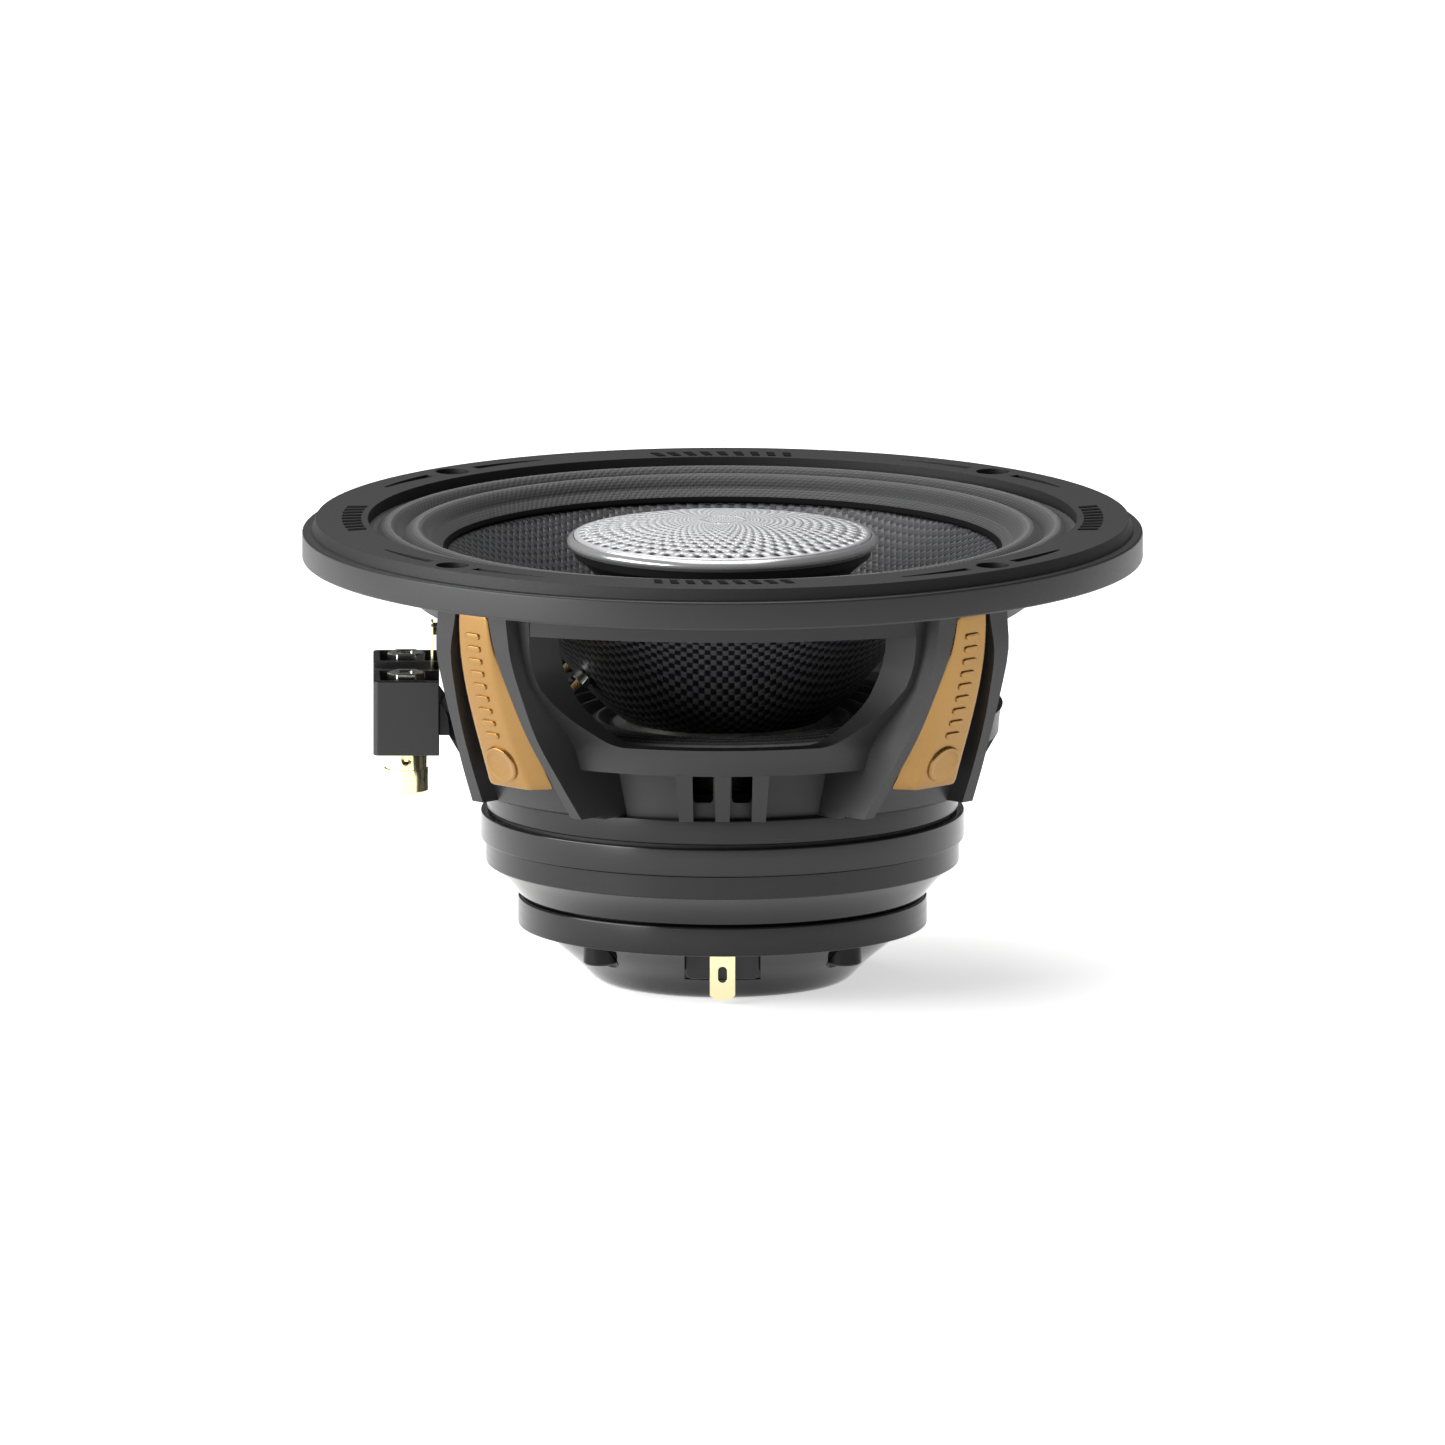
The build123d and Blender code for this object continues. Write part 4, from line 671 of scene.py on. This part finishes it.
class SPEAKER_OT_cover(Operator):
    """The dome cover with its spiral of holes, and the polished ring round it"""
    bl_idname = "speaker.cover"
    bl_label = "Dome cover"

    def execute(self, context):
        low, high = level("perforated_cover")
        edge_r = reach("perforated_cover")
        edge_z = low + 0.85
        rise = high - edge_z
        sphere = (edge_r**2 + rise**2) / (2 * rise)
        # Rings of holes: each ring is smaller by one factor and turned by under half a step, for spirals
        count, rings, big = count_of("holes_round"), count_of("hole_rings"), size_mm("hole_radius")
        outer = edge_r - 2.0
        ring = np.arange(rings)
        radius = outer * 0.9**ring
        turn = 2 * pi / count * (np.arange(count)[None, :] + 0.40 * ring[:, None])
        centres = np.stack([radius[:, None] * np.cos(turn), radius[:, None] * np.sin(turn)], -1).reshape(-1, 2)
        hole_r = np.repeat(np.maximum(big * (radius / outer) ** 0.9, 0.14), count)
        # The middle holds a hexagonal field of pinholes
        i, j = np.meshgrid(np.arange(-5, 6), np.arange(-5, 6))
        field = np.stack([(i + j / 2) * 0.95, j * 0.95 * sqrt(3) / 2], -1).reshape(-1, 2)
        field = field[np.linalg.norm(field, axis=1) < radius[-1] - 1.0]
        centres = np.concatenate([centres, field])
        hole_r = np.concatenate([hole_r, np.full(len(field), 0.26)])
        sides = 12
        angle = np.linspace(0, 2 * pi, sides, endpoint=False)
        spokes = np.stack([np.cos(angle), np.sin(angle)], -1)
        holes = centres[:, None] + hole_r[:, None, None] * spokes[None]
        rim_angle = np.linspace(0, 2 * pi, SEGMENTS, endpoint=False)
        rims = [np.stack([r * np.cos(rim_angle), r * np.sin(rim_angle)], -1)
                for r in (edge_r - 0.05, edge_r - 0.9)]
        flat = np.concatenate([*rims, holes.reshape(-1, 2)])
        loops = [np.arange(SEGMENTS), np.arange(SEGMENTS, 2 * SEGMENTS),
                 *(2 * SEGMENTS + np.arange(len(holes) * sides).reshape(-1, sides))]
        edges = np.concatenate([np.stack([loop, np.roll(loop, -1)], 1) for loop in loops])
        out = delaunay_2d_cdt([Vector(p) for p in flat.tolist()], edges.tolist(), [], 0, 1e-7)
        made = np.array([list(v) for v in out[0]])
        triangles = np.array([list(f) for f in out[2]])
        middle = made[triangles].mean(1)
        solid = np.ones(len(middle), bool)
        for start in range(0, len(middle), 4000):
            part = middle[start:start + 4000]
            gap = np.linalg.norm(part[:, None] - centres[None], axis=2) - hole_r[None]
            solid[start:start + 4000] = (gap.min(1) > -0.02 * big) & (np.linalg.norm(part, axis=1) < edge_r)
        triangles = triangles[solid]
        height = edge_z + rise - (sphere - np.sqrt(sphere**2 - (made**2).sum(1)))
        dome = make_piece("dome_cover", np.column_stack([made, height]), triangles, sharp=40)
        edit = bmesh.new()
        edit.from_mesh(dome.data)
        loose = [v for v in edit.verts if not v.link_faces]
        bmesh.ops.delete(edit, geom=loose, context="VERTS")
        bmesh.ops.recalc_face_normals(edit, faces=edit.faces)
        if sum(f.normal.z for f in edit.faces) < 0:
            bmesh.ops.reverse_faces(edit, faces=edit.faces)
        edit.to_mesh(dome.data)
        edit.free()
        thick = dome.modifiers.new("sheet", "SOLIDIFY")
        thick.thickness = 0.55 * MM
        thick.offset = -1
        settle(dome, "silver_cover", "perforated_cover")
        # The trim ring: a soft outer edge, a step, and a fine groove beside the dome
        ring_low, ring_high = level("cover_ring")
        out_r = reach("cover_ring")
        outline = [(28.3, ring_low), (out_r - 0.8, ring_low), (out_r, ring_low + 0.9), (out_r, ring_high - 1.0),
                   (out_r - 0.45, ring_high - 0.35), (edge_r + 0.35, ring_high), (edge_r + 0.12, ring_high - 0.1),
                   (edge_r + 0.12, ring_high - 0.7), (28.3, ring_high - 0.9)]
        settle(lathe("trim_ring", rounded(outline, 0.3), sharp=60), "polished_silver", "cover_ring")
        finished_copy("horn", "horn_plastic", CHASSIS)
        return {"FINISHED"}


class SPEAKER_OT_motor(Operator):
    """The turned rings of the motor and the gloss parts of the rear driver"""
    bl_idname = "speaker.motor"
    bl_label = "Motor"

    def execute(self, context):
        for node, slot, inner, soft in (("top_plate", "black_steel", 20.8, 0.35),
                                        ("magnet_band", "band_gloss", 46.02, 0.3),
                                        ("driver_plate", "black_steel", 13.4, 0.4)):
            low, high = level(node)
            out_r = reach(node)
            outline = [(inner, low), (out_r, low), (out_r, high), (inner, high)]
            settle(lathe(f"{node}_turned", rounded(outline, [0.05, soft, soft, 0.05])), slot, node)
        for node, slot, bevel in (("back_plate", "black_steel", 0.3), ("driver_adapter", "gloss_metal", 0.0),
                                  ("rear_cap", "gloss_metal", 0.2), ("magnet_ring", "magnet", 0.0),
                                  ("driver_magnet", "magnet", 0.0), ("driver_screws", "screw_black", 0.2),
                                  ("phase_plug", "former_aluminium", 0.0),
                                  ("suspension_ring", "terminal_plastic", 0.0)):
            finished_copy(node, slot, CHASSIS, bevel_mm=bevel)
        finished_copy("driver_diaphragm", "diaphragm_film", "driver_dome")
        suspension = finished_copy("driver_suspension", "diaphragm_film", None)
        flex_by_radius(suspension)
        finished_copy("driver_coil", "copper_wire", "driver_dome")
        return {"FINISHED"}


# The insert at four heights: (height, face's distance out, half width of the face, half width at the seat)
INSERT_STATIONS = np.array([(-2.6, 69.9, 4.0, 4.2), (-9.8, 69.3, 4.2, 5.6), (-24.3, 65.4, 4.4, 7.3),
                            (-38.6, 59.3, 5.7, 8.4)])
# The arm's outer line under the insert: depth below the flange, and distance out
ARM_DEPTHS = (2.6, 10.8, 19.5, 27.4, 36.0, 43.8)
ARM_REACH = (67.3, 66.8, 64.2, 61.0, 56.5, 52.1)
BAR_TOP, BAR_LOW, BOSS_Z = -7.0, -27.5, -33.6
OUTLINE_BAR = [(-1.75, -0.62), (1.75, -0.62), (1.75, 0.62), (-1.75, 0.62)]
# Each ring of a raised bar: its share of the width, of the height, and its lift off the face
BAR_RINGS = ((1.0, 1.0, -0.25), (1.0, 1.0, 0.26), (0.97, 0.95, 0.34), (0.86, 0.84, 0.38))


def insert_station(z, column):
    """One column of the stations at a height: the cubic through its four values."""
    return np.polyval(np.polyfit(INSERT_STATIONS[:, 0], INSERT_STATIONS[:, column], 3), z)


def insert_outline(z):
    """The insert's section at one height: (out along the arm, across it), its two face corners rounded."""
    face_r, face, base = (insert_station(z, column) for column in (1, 2, 3))
    seat = np.interp(-z, ARM_DEPTHS, ARM_REACH) + 0.3
    r = size_mm("insert_round")
    return rounded([(seat, -base), (face_r, -face), (face_r, face), (seat, base)], [0.2, r, r, 0.2], steps=6)


def on_face(z, across, up, lift):
    """Points (out, across, height) on the insert's sloping face: up runs along the slope, lift square to it."""
    slope = insert_station(z + 0.5, 1) - insert_station(z - 0.5, 1)
    along, normal = np.array(((slope, 0, 1.0), (1.0, 0, -slope))) / sqrt(1 + slope**2)
    return np.array((insert_station(z, 1), 0, z)) + across * np.array((0, 1.0, 0)) + up * along + lift * normal


class SPEAKER_OT_inserts(Operator):
    """The four gold arm inserts: drafted bars that follow the arm, with plain raised bars and a round boss"""
    bl_idname = "speaker.inserts"
    bl_label = "Arm inserts"

    def execute(self, context):
        low, top = level("arm_insert_1")
        heights = np.concatenate([top - np.array([0.0, 0.1, 0.3, 0.6]), np.linspace(top - 1, low + 1.2, 40),
                                  low + np.array([0.7, 0.35, 0.12, 0.0])])
        shrink = np.concatenate([[0.93, 0.965, 0.985, 0.995], np.ones(40), [0.99, 0.975, 0.95, 0.91]])
        sections = []
        for z, grow in zip(heights, shrink):
            outline = insert_outline(z)
            middle = outline.mean(0)
            sections.append(np.column_stack([middle + (outline - middle) * grow, np.full(len(outline), z)]))
        grid = np.array(sections)
        rows, columns = grid.shape[:2]
        faces = grid_faces(rows, columns).tolist()
        faces += [list(range(columns))[::-1], list(range((rows - 1) * columns, rows * columns))]
        # Raised bars: pill outlines lifted off the face along its own slope
        pill = rounded(OUTLINE_BAR, 0.5, 4)
        count, rings = len(pill), len(BAR_RINGS)
        raised, joined = [], []
        for number, z in enumerate(np.linspace(BAR_TOP, BAR_LOW, count_of("bars"))):
            raised += [on_face(z, pill[:, :1] * wide, pill[:, 1:] * tall, lift)
                       for wide, tall, lift in BAR_RINGS]
            base = number * rings * count
            joined += (base + grid_faces(rings, count)).tolist()
            joined += [list(range(base, base + count))[::-1],
                       list(range(base + (rings - 1) * count, base + rings * count))]
        dish = [(0.001, 0.42), (2.6, 0.42), (3.0, 0.5), (3.45, 0.62), (3.8, 0.55), (3.95, 0.35),
                (3.95, -0.3), (0.001, -0.3)]
        dish = rounded(dish, [0, 0.3, 0.2, 0.15, 0.15, 0.1, 0, 0], 3)
        for number in range(4):
            turn = radians(45 + 90 * number)
            arm = np.array(((cos(turn), sin(turn), 0), (-sin(turn), cos(turn), 0), (0, 0, 1)))
            bar = outward(make_piece(f"insert_{number + 1}", grid.reshape(-1, 3) @ arm, faces, sharp=50))
            settle(bar, "gold_insert", f"arm_insert_{number + 1}")
            bars = make_piece(f"insert_bars_{number + 1}", np.concatenate(raised) @ arm, joined, sharp=50)
            settle(outward(bars), "gold_insert")
            # Round boss near the foot: a low disc with a shallow dish
            boss = lathe(f"insert_boss_{number + 1}", dish, 64, 60)
            points = np.zeros(len(boss.data.vertices) * 3, np.float32)
            boss.data.vertices.foreach_get("co", points)
            across, up, lift = np.split(points.reshape(-1, 3) / MM, 3, axis=1)
            placed = on_face(BOSS_Z, across, up, lift) @ arm
            boss.data.vertices.foreach_set("co", (placed * MM).astype(np.float32).ravel())
            boss.data.update()
            settle(outward(boss), "gold_insert")
        return {"FINISHED"}


class SPEAKER_OT_terminals(Operator):
    """The terminal block, its push posts and the rear tabs"""
    bl_idname = "speaker.terminals"
    bl_label = "Terminals"

    def execute(self, context):
        for node, slot, bevel in (("terminal_block", "terminal_plastic", 0.25),
                                  ("terminal_bracket", "terminal_plastic", 0.2), ("contact_nuts", "nickel", 0.2),
                                  ("solder_tags", "gold_plate", 0.08),
                                  ("rear_terminal_plate_front", "terminal_plastic", 0.25),
                                  ("rear_terminal_plate_back", "terminal_plastic", 0.25),
                                  ("rear_tab_front", "gold_plate", 0.1), ("rear_tab_back", "gold_plate", 0.1)):
            finished_copy(node, slot, CHASSIS, bevel_mm=bevel)
        for side in ("front", "back"):
            finished_copy(f"post_collar_{side}", "gold_plate", CHASSIS, bevel_mm=0.12)
            finished_copy(f"push_cap_{side}", "gold_plate", f"push_cap_{side}", bevel_mm=0.12)
            # The spring stands on the block, on a mesh of its own
            spring = finished_copy(f"post_spring_{side}", "spring_steel", CHASSIS)
            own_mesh(spring)
        return {"FINISHED"}


EYELET_ANGLE, EYELET_TILT = radians(28), radians(42)
EYELET_R, EYELET_Z = 30.5, -20.8
LEAD_RADIUS = 0.75


def off_cone(side, distance):
    """A point straight out from an eyelet's seat on the back of the cone."""
    across = EYELET_R + distance * cos(EYELET_TILT)
    return (-across * cos(EYELET_ANGLE), side * across * sin(EYELET_ANGLE),
            EYELET_Z - distance * sin(EYELET_TILT))


class SPEAKER_OT_leads(Operator):
    """The braided tinsel leads from the solder tags to the eyelets"""
    bl_idname = "speaker.leads"
    bl_label = "Tinsel leads"

    def execute(self, context):
        for name, side in (("front", -1), ("back", 1)):
            route = [(-57.05, side * 2.8, -14.2), (-54.5, side * 2.9, -14.3), (-49.5, side * 4.6, -17.6),
                     (-44.5, side * 8.2, -23.4), *(off_cone(side, distance) for distance in (9.0, 5.0, 2.3))]
            lead = tube(f"tinsel_braid_{name}", curve(route, 90), LEAD_RADIUS)
            finish_with(lead, "braid")
            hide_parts(f"tinsel_lead_{name}")
            flex_by_radius(lead)
        return {"FINISHED"}


FLOOR_HALF = 6.0
FLOOR_GLOW = 0.62
WORLD_GLOW = 0.16
# Soft boxes: name, place, what it points at, size, and power in watts
LAMPS = (("key", (-1.15, -0.30, 0.36), (0, 0, -0.03), (0.8, 0.8), 14.0),
         ("left strip", (-0.92, -0.77, 0.30), (0, 0, 0.30), (0.34, 0.75), 6.0),
         ("top", (-0.2, 0.9, 1.5), (0, 0, -0.02), (1.1, 1.1), 13.0),
         ("over", (0.0, -0.1, 2.2), (0, 0, -0.03), (1.6, 1.6), 16.0))
VIEW_WIDTH = 0.2852
VIEW_AIM = (0, 0, -0.0330)
VIEW_ELEVATION = radians(10)
VIEW_DISTANCE = 1.5


class SPEAKER_OT_stage(Operator):
    """Plain pale floor, soft studio light and the camera"""
    bl_idname = "speaker.stage"
    bl_label = "Stage"

    def execute(self, context):
        scene = context.scene
        low = CAD_BOX[0][2]
        corners = np.array([(-1, -1, 0), (1, -1, 0), (1, 1, 0), (-1, 1, 0)]) * FLOOR_HALF + (0, 0, low)
        floor = make_piece("floor", corners / MM, [(0, 1, 2, 3)])
        # A pale acrylic sweep lit from below, so that a shadow on it stays faint
        material, _, surface = new_material("pale studio floor", Roughness=0.9, Specular_IOR_Level=0.0,
                                            Emission_Color=colour("floor"), Emission_Strength=FLOOR_GLOW)
        surface.inputs["Base Color"].default_value = colour("floor")
        floor.data.materials.append(material)
        world = bpy.data.worlds.new("studio")
        scene.world = world
        world.use_nodes = True
        world.node_tree.nodes["Background"].inputs[0].default_value = (1, 1, 1, 1)
        world.node_tree.nodes["Background"].inputs[1].default_value = WORLD_GLOW
        for name, place, aim, extent, power in LAMPS:
            lamp = bpy.data.lights.new(name, "AREA")
            lamp.energy = power
            lamp.shape = "RECTANGLE"
            lamp.size, lamp.size_y = extent
            item = bpy.data.objects.new(name, lamp)
            scene.collection.objects.link(item)
            item.location = place
            item.rotation_euler = (Vector(aim) - Vector(place)).to_track_quat("-Z", "Y").to_euler()
        camera = bpy.data.cameras.new("camera")
        camera.type = "ORTHO"
        camera.ortho_scale = VIEW_WIDTH
        camera.clip_end = 50
        item = bpy.data.objects.new("camera", camera)
        scene.collection.objects.link(item)
        aim = Vector(VIEW_AIM)
        item.location = aim + Vector((0, -cos(VIEW_ELEVATION), sin(VIEW_ELEVATION))) * VIEW_DISTANCE
        item.rotation_euler = (aim - item.location).to_track_quat("-Z", "Y").to_euler()
        scene.camera = item
        scene.view_settings.view_transform = "Standard"
        return {"FINISHED"}


class SPEAKER_PT_build(Panel):
    """Lists the building steps and the sizes and colours"""
    bl_label = "Coaxial speaker"
    bl_space_type = "VIEW_3D"
    bl_region_type = "UI"
    bl_category = "Speaker"

    def draw(self, context):
        for operator in STEPS:
            self.layout.operator(operator.bl_idname)
        for group in (context.scene.speaker_sizes, context.scene.speaker_colours):
            for key in group.__annotations__:
                self.layout.prop(group, key)


STEPS = (SPEAKER_OT_basket, SPEAKER_OT_gasket, SPEAKER_OT_surround, SPEAKER_OT_cone, SPEAKER_OT_spider,
         SPEAKER_OT_cover, SPEAKER_OT_motor, SPEAKER_OT_inserts, SPEAKER_OT_terminals, SPEAKER_OT_leads,
         SPEAKER_OT_stage)
CLASSES = (SpeakerSizes, SpeakerColours, *STEPS, SPEAKER_PT_build)


def register():
    for cls in CLASSES:
        bpy.utils.register_class(cls)
    bpy.types.Scene.speaker_sizes = PointerProperty(type=SpeakerSizes)
    bpy.types.Scene.speaker_colours = PointerProperty(type=SpeakerColours)


def unregister():
    del bpy.types.Scene.speaker_sizes
    del bpy.types.Scene.speaker_colours
    for cls in reversed(CLASSES):
        bpy.utils.unregister_class(cls)


def main():
    register()
    make_materials()
    for operator in STEPS:
        group, name = operator.bl_idname.split(".")
        getattr(getattr(bpy.ops, group), name)()


if __name__ == "__main__":
    main()
